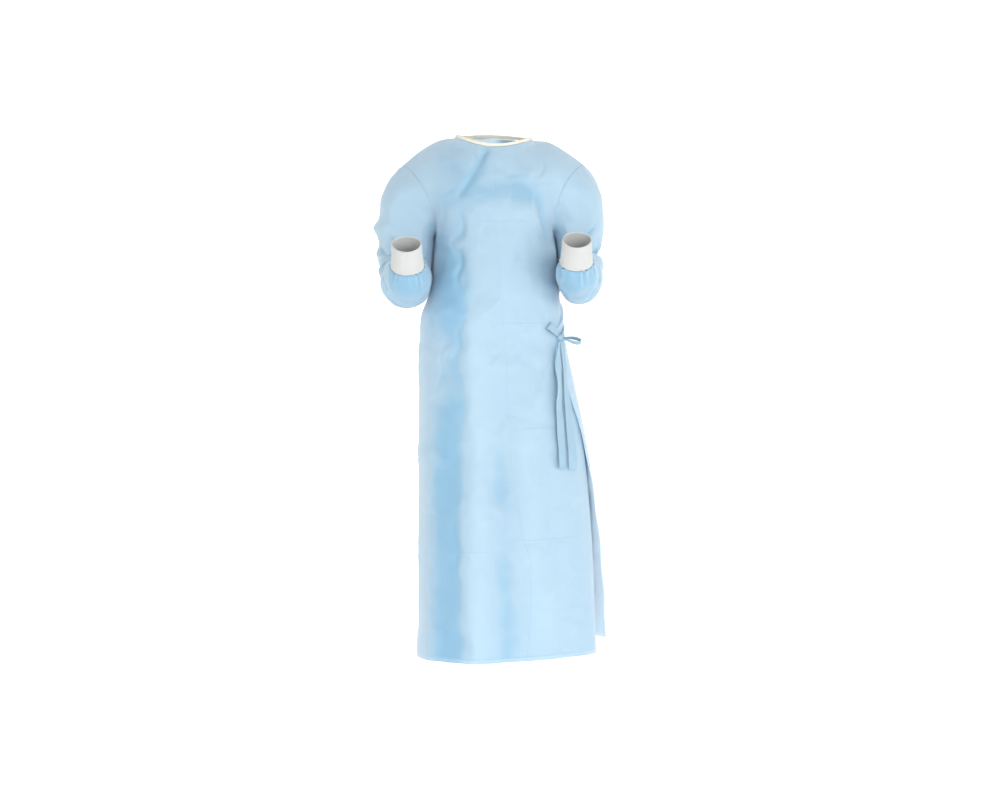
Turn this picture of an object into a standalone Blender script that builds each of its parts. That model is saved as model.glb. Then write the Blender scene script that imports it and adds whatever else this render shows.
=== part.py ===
"""A worn surgical gown: wrap-back body, set-in sleeves, knit cuffs, neck binding and a side tie.

Metres, +Z up. The gown faces -Y. Left and right are the wearer's, so the wearer's left is +X.
The origin lies on the middle of the body, level with the tops of the shoulder seams at the neck.
Each piece of cloth is one closed wall, parted from the next by a narrow gap at its seam.
"""

import math
from collections import namedtuple

import bpy
import numpy as np

WALL = 0.0018  # thickness of the cloth walls
SEAM = 0.0003  # gap between two pieces that are sewn together
HEM_Z = -1.165
ARMPIT_Z = -0.228
WAIST_Z = -0.460  # the tie's height, down to which the rows are closer together

# How finely the walls are divided.
WAIST_ROWS, HEM_ROWS = 8, 8  # armpit to waist, and waist to hem
SKIRT_ROWS = WAIST_ROWS + HEM_ROWS
YOKE_ROWS = 12  # armpit to shoulder; the sleeve head has two points for each
FRONT_COLUMNS = 22
BACK_OUTER_COLUMNS = 22
BACK_UNDER_COLUMNS = 12
SLEEVE_POINTS = 2 * YOKE_ROWS
ARC_SAMPLES = 90  # points along half a body section before it is spaced evenly
STEP = 0.002  # step for surface slopes, in the surface's own coordinates

# Places round the body: 0 is the right side seam, a quarter the middle of the front,
# a half the left side seam and three quarters the middle of the back.
RIGHT_SEAM, LEFT_SEAM, BACK_MIDDLE = 0.0, 0.5, 0.75
NECK_SHARE = 0.12  # the shoulder seam's share of the way round, from its tip to the neck
# Where the shoulder seam's panels lose their lean to front or back, so that they meet edge to edge.
SHOULDER_LEVEL, SHOULDER_SPREAD = 0.80, 0.19
SHOULDER_PAST = 1.25  # as a share of the shoulder seam

# Sections of the body below the armpit, each a flattened oval whose foremost point is at ridge.
# full_ says how square each quarter is: 2 is an ellipse.
BodyRow = namedtuple("BodyRow", "z right left ridge front back full_right full_left full_back")
BODY_ROWS = (
    BodyRow(-1.165, -0.173, 0.226, -0.045, -0.172, 0.160, 2.00, 1.70, 2.10),
    BodyRow(-0.930, -0.173, 0.218, -0.042, -0.158, 0.150, 2.00, 1.80, 2.15),
    BodyRow(-0.706, -0.173, 0.198, -0.038, -0.146, 0.137, 2.05, 1.90, 2.20),
    BodyRow(-0.560, -0.172, 0.172, -0.034, -0.136, 0.124, 2.10, 2.00, 2.25),
    BodyRow(-0.460, -0.171, 0.153, -0.030, -0.128, 0.110, 2.15, 2.10, 2.30),
    BodyRow(-0.400, -0.166, 0.147, -0.026, -0.127, 0.103, 2.20, 2.20, 2.30),
    BodyRow(-0.360, -0.151, 0.144, -0.020, -0.129, 0.101, 2.25, 2.25, 2.30),
    BodyRow(-0.310, -0.142, 0.140, -0.010, -0.132, 0.103, 2.30, 2.30, 2.30),
    BodyRow(ARMPIT_Z, -0.134, 0.131, 0.000, -0.132, 0.107, 2.35, 2.35, 2.30),
)
BACK_RIDGE = 0.015

# The shoulder seams, from the tip to the neck, and the neckline between them.
ShoulderPoint = namedtuple("ShoulderPoint", "share x y z")
RIGHT_SHOULDER = (
    ShoulderPoint(0.00, -0.208, 0.000, -0.066),
    ShoulderPoint(0.35, -0.168, 0.002, -0.033),
    ShoulderPoint(0.70, -0.127, 0.004, -0.010),
    ShoulderPoint(1.00, -0.091, 0.004, -0.004),
)
LEFT_SHOULDER = (
    ShoulderPoint(0.00, 0.197, 0.000, -0.064),
    ShoulderPoint(0.35, 0.160, 0.002, -0.037),
    ShoulderPoint(0.70, 0.120, 0.004, -0.014),
    ShoulderPoint(1.00, 0.084, 0.004, -0.010),
)
NECK_FRONT_REACH, NECK_FRONT_DROP = -0.082, -0.026
NECK_BACK_REACH, NECK_BACK_RISE = 0.062, 0.010

# Handles of the curves that carry the cloth from the armpit level up to the shoulder line:
# rise_ leaves the lower end and fall_ hangs from the upper one. share runs from the armhole, 0,
# over the neck corner, 0.48, to the middle of the panel, 1. out points away from the middle.
YokeRow = namedtuple("YokeRow", "share rise_out rise_y rise_z fall_out fall_y fall_z")
YOKE_FRONT = (
    YokeRow(0.00, -0.016, -0.066, 0.030, -0.048, -0.104, -0.036),
    YokeRow(0.22, -0.012, -0.062, 0.050, -0.022, -0.090, -0.022),
    YokeRow(0.48, 0.000, -0.034, 0.066, -0.004, -0.090, -0.026),
    YokeRow(0.72, 0.000, -0.012, 0.072, 0.000, -0.044, -0.046),
    YokeRow(1.00, 0.000, -0.007, 0.076, 0.000, -0.034, -0.054),
)
YOKE_BACK = (
    YokeRow(0.00, 0.002, 0.080, 0.020, -0.026, 0.082, -0.030),
    YokeRow(0.22, 0.004, 0.048, 0.050, -0.014, 0.078, -0.018),
    YokeRow(0.48, 0.000, 0.028, 0.066, 0.000, 0.078, -0.020),
    YokeRow(0.72, 0.000, 0.010, 0.072, 0.000, 0.040, -0.038),
    YokeRow(1.00, 0.000, 0.005, 0.076, 0.000, 0.030, -0.046),
)

# The outer back flap stands out from the cloth under it, and its free edge runs from the neck
# under the arm to the tie and down to the hem. around is a place round the body.
FlapRow = namedtuple("FlapRow", "z stand edge")
FLAP_ROWS = (
    FlapRow(-1.165, 0.028, 0.530),
    FlapRow(-0.930, 0.016, 0.503),
    FlapRow(-0.706, 0.009, 0.470),
    FlapRow(-0.560, 0.006, 0.440),
    FlapRow(-0.470, 0.0045, 0.422),
    FlapRow(-0.435, 0.0045, 0.435),
    FlapRow(-0.395, 0.005, 0.500),
    FlapRow(-0.350, 0.005, 0.575),
    FlapRow(-0.300, 0.005, 0.625),
    FlapRow(ARMPIT_Z, 0.005, 0.660),
    FlapRow(0.000, 0.000, 0.700),
)
UNDER_EDGE_HEM, UNDER_EDGE_NECK = 0.90, 0.80
UNDER_SINK, UNDER_SINK_NECK = 0.0055, 0.0040  # how far the under layer lies inside the outer one
UNDER_EASE = 0.16  # over this far from the left side seam it sinks in
FLAP_JOINS, FLAP_EASE = BACK_MIDDLE + 0.07, 0.20  # where the flap leaves the body's surface
HEM_LIFT_FRONT, HEM_LIFT_X, HEM_LIFT_SPREAD = 0.004, -0.020, 0.120  # the front hem rises to the left
FLAP_LIFT_FROM = BACK_MIDDLE + 0.05
HEM_LIFT_FLAP, FLAP_LIFT_EASE = 0.027, 0.26  # the flap's free corner is pulled up by the tie
FLAP_LIFT_LEVEL = -0.55  # the lift begins here and is whole at the hem

# Large folds of the body, as straight soft ridges (depth above 0) or troughs (below 0) in the
# plane of x and z. Ends below the hem run out through it.
Fold = namedtuple("Fold", "x_top z_top x_low z_low width depth")
FRONT_FOLDS = (
    Fold(-0.055, -0.370, -0.042, -0.740, 0.030, 0.006),
    Fold(-0.042, -0.700, -0.046, -1.240, 0.032, 0.009),
    Fold(-0.100, -0.620, -0.112, -1.240, 0.036, -0.008),
    Fold(0.000, -0.640, 0.030, -1.240, 0.030, -0.008),
    Fold(0.062, -0.560, 0.100, -1.240, 0.034, 0.007),
    Fold(0.110, -0.700, 0.160, -1.240, 0.030, -0.006),
    Fold(-0.010, -0.020, -0.082, -0.150, 0.010, -0.006),
    Fold(-0.078, -0.160, -0.074, -0.380, 0.013, -0.004),
    Fold(0.030, -0.140, 0.085, -0.150, 0.020, -0.004),
    Fold(0.088, -0.125, 0.130, -0.260, 0.012, -0.007),
    Fold(-0.116, -0.215, -0.136, -0.350, 0.012, -0.004),
)
BACK_FOLDS = (
    Fold(-0.110, -0.420, -0.120, -1.240, 0.030, 0.010),
    Fold(-0.050, -0.380, -0.062, -1.240, 0.030, -0.010),
    Fold(0.010, -0.460, 0.012, -1.240, 0.032, 0.010),
    Fold(0.075, -0.500, 0.090, -1.240, 0.030, -0.009),
    Fold(0.130, -0.560, 0.165, -1.240, 0.026, 0.008),
    Fold(0.020, -0.120, 0.100, -0.420, 0.022, -0.006),
    Fold(-0.110, -0.130, -0.060, -0.330, 0.020, -0.006),
)
FOLD_FREE = 0.045  # folds die out this far round the body from a side seam
FOLD_END = 0.18  # share of a fold's length over which each end fades

# The sleeves: the arm hangs, bends at the elbow and reaches forward, and the cuff turns up.
ELBOW_Y, ELBOW_Z, ELBOW_RADIUS = -0.050, -0.270, 0.060
FOREARM_LENGTH = 0.128
WRIST_RADIUS, WRIST_TURN = 0.062, 49
UPPER_SHARE = 0.19  # the upper arm's share of the way from the first full ring to the cuff
UPPER_RING_IN_Z, UPPER_RING_OUT_Z = -0.240, -0.160  # the first full ring rises outwards
HEAD_RINGS, UPPER_RINGS, ELBOW_RINGS, FOREARM_RINGS, WRIST_RINGS = 7, 5, 7, 3, 4
HEAD_SPACING = 1.2  # above 1 the rings of the sleeve head are closer together at the armhole
CROOK_ROOM = 0.0095  # kept clear between the crook's cloth and the middle of its bend
# The flap passes the arm behind and below these, and comes in over the spread.
FLAP_UNDER_ARM_Y, FLAP_UNDER_ARM_Z, FLAP_UNDER_ARM_SPREAD = 0.030, -0.300, 0.040
ARM_SIDE_FULL = 2.3  # how square the body's section is beside the arms
UNDER_ARM_ABOVE = 0.020  # the body is kept clear up to this far above the armpit
BODY_CLEARANCE = 0.0060  # between the body's wall and the sleeve that lies against it

ArmRow = namedtuple("ArmRow", "along x across deep")
RIGHT_ARM = (
    ArmRow(0.00, 0.2000, 0.0605, 0.062),
    ArmRow(0.19, 0.2000, 0.0605, 0.060),
    ArmRow(0.33, 0.1990, 0.0600, 0.059),
    ArmRow(0.46, 0.1980, 0.0580, 0.060),
    ArmRow(0.64, 0.1950, 0.0525, 0.059),
    ArmRow(0.84, 0.1900, 0.0470, 0.048),
    ArmRow(1.00, 0.1880, 0.0375, 0.034),
)
LEFT_ARM = (
    ArmRow(0.00, 0.1885, 0.0535, 0.060),
    ArmRow(0.19, 0.1885, 0.0515, 0.058),
    ArmRow(0.33, 0.1890, 0.0505, 0.059),
    ArmRow(0.46, 0.1885, 0.0500, 0.060),
    ArmRow(0.64, 0.1840, 0.0490, 0.058),
    ArmRow(0.84, 0.1770, 0.0460, 0.047),
    ArmRow(1.00, 0.1735, 0.0370, 0.034),
)
# The sleeve head, keyed round the armhole: armpit 0, back 0.25, tip 0.5, front 0.75. lead is how
# far it first follows the panel's own surface, and arrive how far it falls into the first ring.
HeadRow = namedtuple("HeadRow", "around lead arrive")
SLEEVE_HEAD = (
    HeadRow(0.00, 0.0060, 0.014),
    HeadRow(0.12, 0.0110, 0.020),
    HeadRow(0.25, 0.0200, 0.030),
    HeadRow(0.50, 0.0260, 0.044),
    HeadRow(0.75, 0.0200, 0.030),
    HeadRow(0.88, 0.0110, 0.020),
    HeadRow(1.00, 0.0060, 0.014),
)
# Large folds of a sleeve: along is 0 at the first full ring and 1 at the cuff; turn goes round
# the arm, 0 next to the body, 0.25 the back and elbow, 0.5 outside, 0.75 the crook.
SleeveFold = namedtuple("SleeveFold", "along turn length spread depth")
RIGHT_SLEEVE_FOLDS = (
    SleeveFold(0.085, 0.50, 0.026, 0.15, 0.014),
    SleeveFold(0.180, 0.50, 0.060, 0.13, 0.008),
    SleeveFold(0.60, 0.40, 0.120, 0.05, -0.004),
    SleeveFold(0.75, 0.15, 0.100, 0.05, -0.004),
)
LEFT_SLEEVE_FOLDS = (
    SleeveFold(0.235, 0.50, 0.034, 0.13, -0.013),
    SleeveFold(0.100, 0.56, 0.050, 0.12, 0.003),
    SleeveFold(0.62, 0.38, 0.120, 0.05, -0.005),
    SleeveFold(0.72, 0.12, 0.100, 0.05, -0.004),
)
LEFT_ARM_LIFT = 0.009  # the left arm is held this much higher
GATHER = 0.0022  # half the depth of the pleats where a sleeve is gathered into its cuff

CUFF_LENGTH = 0.059
CUFF_RINGS = 3
CUFF_TOP_SHARE = 0.87  # the cuff narrows to this share of its base
CUFF_INSET = 0.0012  # the knit is drawn in from the gathered cloth

BINDING_HEIGHT, BINDING_WALL = 0.007, 0.0026
BINDING_STEPS = 44
BINDING_END = 0.045  # each end of the binding runs this far past the middle of the back
BINDING_LAP = 0.0034  # the inner end lies this far inside the neckline
BINDING_LEAN = 0.25  # the strip leans in towards the neck

# The tie at the left side. off is how far the strip's middle stands out of the front panel;
# facing turns its width from straight across, 0, to edge-on, 90.
TIE_WALL = 0.0012
KNOT_X, KNOT_Z, KNOT_OFF = 0.1430, -0.4550, 0.01155
KNOT_SIZE = (0.0075, 0.0060, 0.0080)
KNOT_POINTS, KNOT_RINGS = 12, 8
LOOP_ROOT = 0.0077  # from the knot's middle to where a loop begins
StripRow = namedtuple("StripRow", "x off z width facing")
TAIL_FRONT = (
    StripRow(0.1425, 0.0130, -0.4630, 0.007, 60),
    StripRow(0.1405, 0.0130, -0.4850, 0.014, 60),
    StripRow(0.1385, 0.0130, -0.5100, 0.019, 46),
    StripRow(0.1415, 0.0135, -0.5520, 0.020, 62),
    StripRow(0.1400, 0.0130, -0.6080, 0.020, 52),
    StripRow(0.1440, 0.0110, -0.6600, 0.020, 40),
    StripRow(0.1465, 0.0110, -0.7050, 0.020, 46),
    StripRow(0.1480, 0.0115, -0.7440, 0.020, 52),
)
TAIL_SIDE = (
    StripRow(0.1475, 0.0125, -0.4628, 0.007, 30),
    StripRow(0.1515, 0.0120, -0.4900, 0.013, 50),
    StripRow(0.1555, 0.0120, -0.5400, 0.018, 62),
    StripRow(0.1600, 0.0125, -0.6100, 0.019, 44),
    StripRow(0.1650, 0.0130, -0.6600, 0.019, 30),
    StripRow(0.1690, 0.0135, -0.7020, 0.019, 26),
    StripRow(0.1720, 0.0140, -0.7480, 0.019, 20),
)
# Loops of the bow, as a path out from the knot and back: reach runs away from the knot, open
# is the spread between its two runs, and width is across the strip.
LoopRow = namedtuple("LoopRow", "reach open width")
LOOP_ROWS = (
    LoopRow(0.0000, 0.0016, 0.006),
    LoopRow(0.0100, 0.0030, 0.013),
    LoopRow(0.0220, 0.0048, 0.019),
    LoopRow(0.0320, 0.0046, 0.020),
    LoopRow(0.0370, 0.0026, 0.020),
)
# A loop's way from the knot: rise above the horizontal, heading in plan from +X, and the
# direction in which its two runs spread.
LoopWay = namedtuple("LoopWay", "rise heading length spread")
LOOP_FRONT = LoopWay(40, 216, 0.85, (0.55, -0.83, 0.10))
LOOP_SIDE = LoopWay(-12, -8, 1.05, (0.00, 0.00, 1.00))
STRAP_BACK = (
    StripRow(0.1555, 0.0055, -0.4250, 0.016, 84),
    StripRow(0.1535, 0.0066, -0.4340, 0.014, 80),
    StripRow(0.1475, 0.0105, -0.4527, 0.008, 66),
)
STRAP_FLAP = (
    StripRow(0.1480, 0.0102, -0.4585, 0.007, 64),
    StripRow(0.1505, 0.0077, -0.4710, 0.011, 66),
    StripRow(0.1525, 0.0064, -0.4820, 0.015, 68),
)

BLUE = (0.47, 0.71, 0.88)
PALE_BLUE = (0.45, 0.68, 0.85)
KNIT_WHITE = (0.83, 0.84, 0.83)
CREAM = (0.80, 0.77, 0.64)
CLOTH_ROUGHNESS, KNIT_ROUGHNESS = 0.75, 0.9


def clear_scene():
    """Removes every object of the scene."""
    for thing in list(bpy.data.objects):
        bpy.data.objects.remove(thing, do_unlink=True)


def ease(x):
    """A smooth step from 0 to 1."""
    x = np.clip(x, 0.0, 1.0)
    return x * x * (3 - 2 * x)


def along_table(rows, key, column, at):
    """Reads a column of a table at a value of its key column, on a smooth curve."""
    keys = np.array([getattr(row, key) for row in rows], float)
    values = np.array([getattr(row, column) for row in rows], float)
    slopes = np.gradient(values, keys)
    at = np.clip(np.asarray(at, float), keys[0], keys[-1])
    i = np.clip(np.searchsorted(keys, at, side="right") - 1, 0, len(keys) - 2)
    span = keys[i + 1] - keys[i]
    t = (at - keys[i]) / span
    start = (1 + 2 * t) * (1 - t) ** 2 * values[i] + t * (1 - t) ** 2 * span * slopes[i]
    end = t * t * (3 - 2 * t) * values[i + 1] - t * t * (1 - t) * span * slopes[i + 1]
    return start + end


def evenly(points, shares):
    """Points at the given shares of the way along a polyline."""
    steps = np.linalg.norm(np.diff(points, axis=0), axis=1)
    way = np.concatenate([[0.0], np.cumsum(steps)])
    at = np.asarray(shares, float) * way[-1]
    return np.stack([np.interp(at, way, points[:, k]) for k in range(3)], axis=-1)


def quarter(z, x_side, x_ridge, y_ridge, full):
    """A quarter of a body section, from its side seam to its ridge."""
    angle = np.linspace(0.0, math.pi / 2, ARC_SAMPLES)
    across = np.abs(np.cos(angle)) ** (2 / full)
    deep = np.abs(np.sin(angle)) ** (2 / full)
    x = x_ridge + (x_side - x_ridge) * across
    return np.stack([x, y_ridge * deep, np.full_like(x, z)], axis=-1)


def half_section(z, front):
    """Half of the body's section at a height, from the right side seam to the left one."""
    z_key = min(max(z, HEM_Z), ARMPIT_Z)
    row = {f: float(along_table(BODY_ROWS, "z", f, z_key)) for f in BodyRow._fields[1:]}
    if front:
        ridge, reach, fulls = row["ridge"], row["front"], (row["full_right"], row["full_left"])
    else:
        ridge, reach, fulls = BACK_RIDGE, row["back"], (row["full_back"], row["full_back"])
    first = quarter(z, row["right"], ridge, reach, fulls[0])
    second = quarter(z, row["left"], ridge, reach, fulls[1])[::-1]
    return np.concatenate([first, second[1:]])


def skirt_points(around, z):
    """Points of the body below the armpit, at places round it and one height."""
    around = np.mod(around, 1.0)
    front = evenly(half_section(z, True), np.clip(around * 2, 0, 1))
    back = evenly(half_section(z, False), np.clip((1 - around) * 2, 0, 1))
    points = np.where((around <= LEFT_SEAM)[:, None], front, back)
    low = ease((ARMPIT_Z - z) / (ARMPIT_Z - HEM_Z)) ** 2
    points[:, 2] += HEM_LIFT_FRONT * low * ease((points[:, 0] - HEM_LIFT_X) / HEM_LIFT_SPREAD)
    return points


def neckline(turn):
    """The neckline: 0 at the right shoulder seam, above 0 over the front to the left seam at pi."""
    right, left = RIGHT_SHOULDER[-1], LEFT_SHOULDER[-1]
    middle, half = (right.x + left.x) / 2, (left.x - right.x) / 2
    ahead = np.sin(turn) > 0
    reach = np.where(ahead, NECK_FRONT_REACH, -NECK_BACK_REACH)
    rise = np.where(ahead, NECK_FRONT_DROP, NECK_BACK_RISE)
    x = middle - half * np.cos(turn)
    y = right.y + reach * np.sin(turn)
    z = right.z + (left.z - right.z) * (1 - np.cos(turn)) / 2 + rise * np.sin(turn) ** 2
    return np.stack([x, y, z], axis=-1)


def shoulder_line(around):
    """The shoulder seams and the neckline, at places round the body."""
    around = np.clip(around, 0.0, 1.0)
    front = around <= LEFT_SEAM
    half = np.where(front, around, 1 - around) * 2
    seam_share = 2 * NECK_SHARE
    points = np.zeros((len(around), 3))
    for rows, share in ((RIGHT_SHOULDER, half), (LEFT_SHOULDER, 1 - half)):
        on_seam = share <= seam_share
        for k, column in enumerate("xyz"):
            value = along_table(rows, "share", column, share / seam_share)
            points[:, k] = np.where(on_seam, value, points[:, k])
    turn = math.pi * np.clip((half - seam_share) / (1 - 2 * seam_share), 0, 1)
    neck = neckline(np.where(front, turn, -turn))
    on_neck = (half > seam_share) & (half < 1 - seam_share)
    points[on_neck] = neck[on_neck]
    return points


def yoke_points(around, level):
    """Points of the body above the armpit; level runs from 0 there to 1 at the shoulder line."""
    around = np.clip(around, 0.0, 1.0)
    low, high = skirt_points(around, ARMPIT_Z), shoulder_line(around)
    front = around <= LEFT_SEAM
    half = np.where(front, around, 1 - around) * 2
    side = np.where(half < 0.5, -1.0, 1.0)
    share = 1 - np.abs(half - 0.5) * 2
    handles = {}
    for name in YokeRow._fields[1:]:
        value_front = along_table(YOKE_FRONT, "share", name, share)
        value_back = along_table(YOKE_BACK, "share", name, share)
        handles[name] = np.where(front, value_front, value_back)
    rise = np.stack([side * handles["rise_out"], handles["rise_y"], handles["rise_z"]], axis=-1)
    fall = np.stack([side * handles["fall_out"], handles["fall_y"], handles["fall_z"]], axis=-1)
    return bezier(low, low + rise, high + fall, high, level)


def bezier(a, b, c, d, t):
    """A point of a cubic curve, or one of each of many."""
    u = 1 - t
    return u**3 * a + 3 * u * u * t * b + 3 * u * t * t * c + t**3 * d


def body_points(around, level):
    """The body's surface: level -1 is the hem, 0 the armpit and 1 the shoulder line."""
    if level <= 0:
        return skirt_points(around, ARMPIT_Z + level * (ARMPIT_Z - HEM_Z))
    return yoke_points(around, min(level, 1.0))


def body_normals(around, level, low_end, high_end):
    """Outward directions of the body's surface, kept within one panel above the armpit."""
    before, after = around - STEP, around + STEP
    if level > 0:
        before, after = np.clip(before, low_end, high_end), np.clip(after, low_end, high_end)
    across = body_points(after, level) - body_points(before, level)
    above = level if level == 0 else min(level + STEP, 1.0)
    up = body_points(around, above) - body_points(around, level - STEP)
    normal = np.cross(across, up)
    half = np.minimum(around, 1 - around)
    half = np.minimum(half, np.abs(around - LEFT_SEAM))
    on_seam = ease((NECK_SHARE * SHOULDER_PAST - half) / (NECK_SHARE * (SHOULDER_PAST - 1)))
    normal /= np.linalg.norm(normal, axis=1)[:, None]
    normal[:, 1] *= 1 - ease((level - SHOULDER_LEVEL) / SHOULDER_SPREAD) * on_seam
    return normal / np.linalg.norm(normal, axis=1)[:, None]


def fold_depth(folds, points):
    """How far the folds of a table move points of the body out of its smooth surface."""
    depth = np.zeros(len(points))
    for fold in folds:
        start = np.array([fold.x_top, fold.z_top])
        way = np.array([fold.x_low, fold.z_low]) - start
        length = np.linalg.norm(way)
        offset = points[:, [0, 2]] - start
        share = offset @ way / length**2
        away = np.abs(offset[:, 0] * way[1] - offset[:, 1] * way[0]) / length
        fade = ease(share / FOLD_END) * ease((1 - share) / FOLD_END)
        depth += fold.depth * fade * np.exp(-((away / fold.width) ** 2))
    return depth


def seam_fade(around):
    """0 at the side seams and 1 away from them, so that panels meet where they are sewn."""
    nearest = np.minimum(np.abs(around - LEFT_SEAM), np.minimum(around, 1 - around))
    return ease(nearest / FOLD_FREE)


def levels():
    """The levels of the rows of a panel, from the hem up."""
    waist = (WAIST_Z - ARMPIT_Z) / (ARMPIT_Z - HEM_Z)
    low, high = np.linspace(-1, waist, HEM_ROWS + 1), np.linspace(waist, 0, WAIST_ROWS + 1)
    skirt = np.concatenate([low, high[1:]])
    yoke = np.linspace(0, 1, YOKE_ROWS + 1)[1:]
    yoke[-1] -= SEAM / 2 / -ARMPIT_Z
    return np.concatenate([skirt, yoke])


def body_z(level):
    """The nominal height of a level."""
    return ARMPIT_Z + level * ((ARMPIT_Z - HEM_Z) if level <= 0 else -ARMPIT_Z)


def flap_stand(around, z):
    """How far the outer back flap lies outside the body's surface."""
    stand = float(along_table(FLAP_ROWS, "z", "stand", z))
    return stand * ease((FLAP_JOINS - around) / FLAP_EASE)


def under_sink(around, level):
    """How far the under layer of the back lies inside the body's surface."""
    sink = UNDER_SINK + (UNDER_SINK_NECK - UNDER_SINK) * max(level, 0.0)
    return sink * ease((around - LEFT_SEAM - UNDER_EASE / 16) / UNDER_EASE)


def front_grid():
    """Outer and inner points of the front panel."""
    edge = SEAM / 2
    around = np.linspace(RIGHT_SEAM + edge, LEFT_SEAM - edge, FRONT_COLUMNS + 1)
    outer, inner = [], []
    for level in levels():
        base = body_points(around, level)
        normal = body_normals(around, level, RIGHT_SEAM, LEFT_SEAM)
        move = fold_depth(FRONT_FOLDS, base) * seam_fade(around)
        outer.append(base + normal * move[:, None])
        inner.append(base + normal * (move - WALL)[:, None])
    return np.array(outer), np.array(inner)


def back_outer_grid():
    """Outer and inner points of the right back, the flap that wraps round to the tie."""
    outer, inner = [], []
    for level in levels():
        z = body_z(level)
        edge = float(along_table(FLAP_ROWS, "z", "edge", z))
        around = np.linspace(1 - SEAM / 2, edge, BACK_OUTER_COLUMNS + 1)
        base = body_points(around, level)
        normal = body_normals(around, level, LEFT_SEAM, 1.0)
        folds = fold_depth(BACK_FOLDS, base) * seam_fade(around) * (around > LEFT_SEAM)
        move = folds + flap_stand(around, z)
        low = ease((FLAP_LIFT_LEVEL - level) / (1 + FLAP_LIFT_LEVEL))
        base[:, 2] += HEM_LIFT_FLAP * low * ease((FLAP_LIFT_FROM - around) / FLAP_LIFT_EASE)
        outer.append(base + normal * move[:, None])
        inner.append(base + normal * (move - WALL)[:, None])
    return np.array(outer), np.array(inner)


def back_under_grid():
    """Outer and inner points of the left back, the layer under the flap."""
    outer, inner = [], []
    for level in levels():
        edge = UNDER_EDGE_NECK + (UNDER_EDGE_HEM - UNDER_EDGE_NECK) * ease(-level)
        around = np.linspace(LEFT_SEAM + SEAM / 2, edge, BACK_UNDER_COLUMNS + 1)
        base = body_points(around, level)
        normal = body_normals(around, level, LEFT_SEAM, 1.0)
        folds = fold_depth(BACK_FOLDS, base) * seam_fade(around)
        move = folds - under_sink(around, level)
        outer.append(base + normal * move[:, None])
        inner.append(base + normal * (move - WALL)[:, None])
    return np.array(outer), np.array(inner)


def wall_faces(rows, columns, closed):
    """Faces of a wall between an outer and an inner grid of points, with its rims."""
    def at(layer, row, column):
        return layer * rows * columns + row * columns + column % columns

    faces = []
    spans = columns if closed else columns - 1
    for row in range(rows - 1):
        for column in range(spans):
            quad = [(row, column), (row, column + 1), (row + 1, column + 1), (row + 1, column)]
            faces.append([at(0, r, c) for r, c in quad])
            faces.append([at(1, r, c) for r, c in reversed(quad)])
    for column in range(spans):
        for row, order in ((0, 1), (rows - 1, -1)):
            rim = [at(0, row, column), at(1, row, column), at(1, row, column + 1), at(0, row, column + 1)]
            faces.append(rim[::order])
    if not closed:
        for row in range(rows - 1):
            for column, order in ((0, -1), (columns - 1, 1)):
                rim = [at(0, row, column), at(1, row, column), at(1, row + 1, column), at(0, row + 1, column)]
                faces.append(rim[::order])
    return faces


def split(points, quads):
    """Cuts each quad into triangles on its shorter diagonal, so that walls that meet match."""
    triangles = []
    for a, b, c, d in quads:
        if np.linalg.norm(points[a] - points[c]) < np.linalg.norm(points[b] - points[d]):
            triangles += [[a, b, c], [a, c, d]]
        else:
            triangles += [[a, b, d], [b, c, d]]
    return triangles


def signed_volume(points, faces):
    """Six times the volume inside the faces, above 0 when they point out."""
    total = 0.0
    for face in faces:
        corners = points[face]
        for k in range(1, len(face) - 1):
            total += float(np.dot(corners[0], np.cross(corners[k], corners[k + 1])))
    return total


def material(name, colour, roughness):
    """A plain cloth material."""
    made = bpy.data.materials.new(name)
    made.use_nodes = True
    shader = made.node_tree.nodes["Principled BSDF"]
    shader.inputs["Base Color"].default_value = (*colour, 1.0)
    shader.inputs["Roughness"].default_value = roughness
    shader.inputs["Metallic"].default_value = 0.0
    return made


def add_piece(name, points, faces, colour, roughness):
    """Makes one named closed piece, with its faces turned out."""
    if signed_volume(points, faces) < 0:
        faces = [face[::-1] for face in faces]
    mesh = bpy.data.meshes.new(name)
    mesh.from_pydata(points.tolist(), [], faces)
    mesh.validate()
    mesh.materials.append(material(name, colour, roughness))
    mesh.shade_smooth()
    piece = bpy.data.objects.new(name, mesh)
    bpy.context.scene.collection.objects.link(piece)
    return piece


def add_wall(name, outer, inner, closed, colour, roughness):
    """Makes a wall of cloth from its outer and inner grids."""
    rows, columns = outer.shape[:2]
    points = np.concatenate([outer.reshape(-1, 3), inner.reshape(-1, 3)])
    faces = split(points, wall_faces(rows, columns, closed))
    return add_piece(name, points, faces, colour, roughness)


def armhole(side, front, back):
    """The armhole's points from the armpit over the back, tip and front, with their inner ones."""
    front_edge = [grid[SKIRT_ROWS:, 0 if side < 0 else -1] for grid in front]
    back_edge = [grid[SKIRT_ROWS:, 0] for grid in back]
    rings = []
    for ahead, behind in zip(front_edge, back_edge):
        armpit, tip = (ahead[0] + behind[0]) / 2, (ahead[-1] + behind[-1]) / 2
        ring = [armpit, *behind[1:-1], tip, *ahead[-2:0:-1]]
        rings.append(np.array(ring))
    return rings


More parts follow.
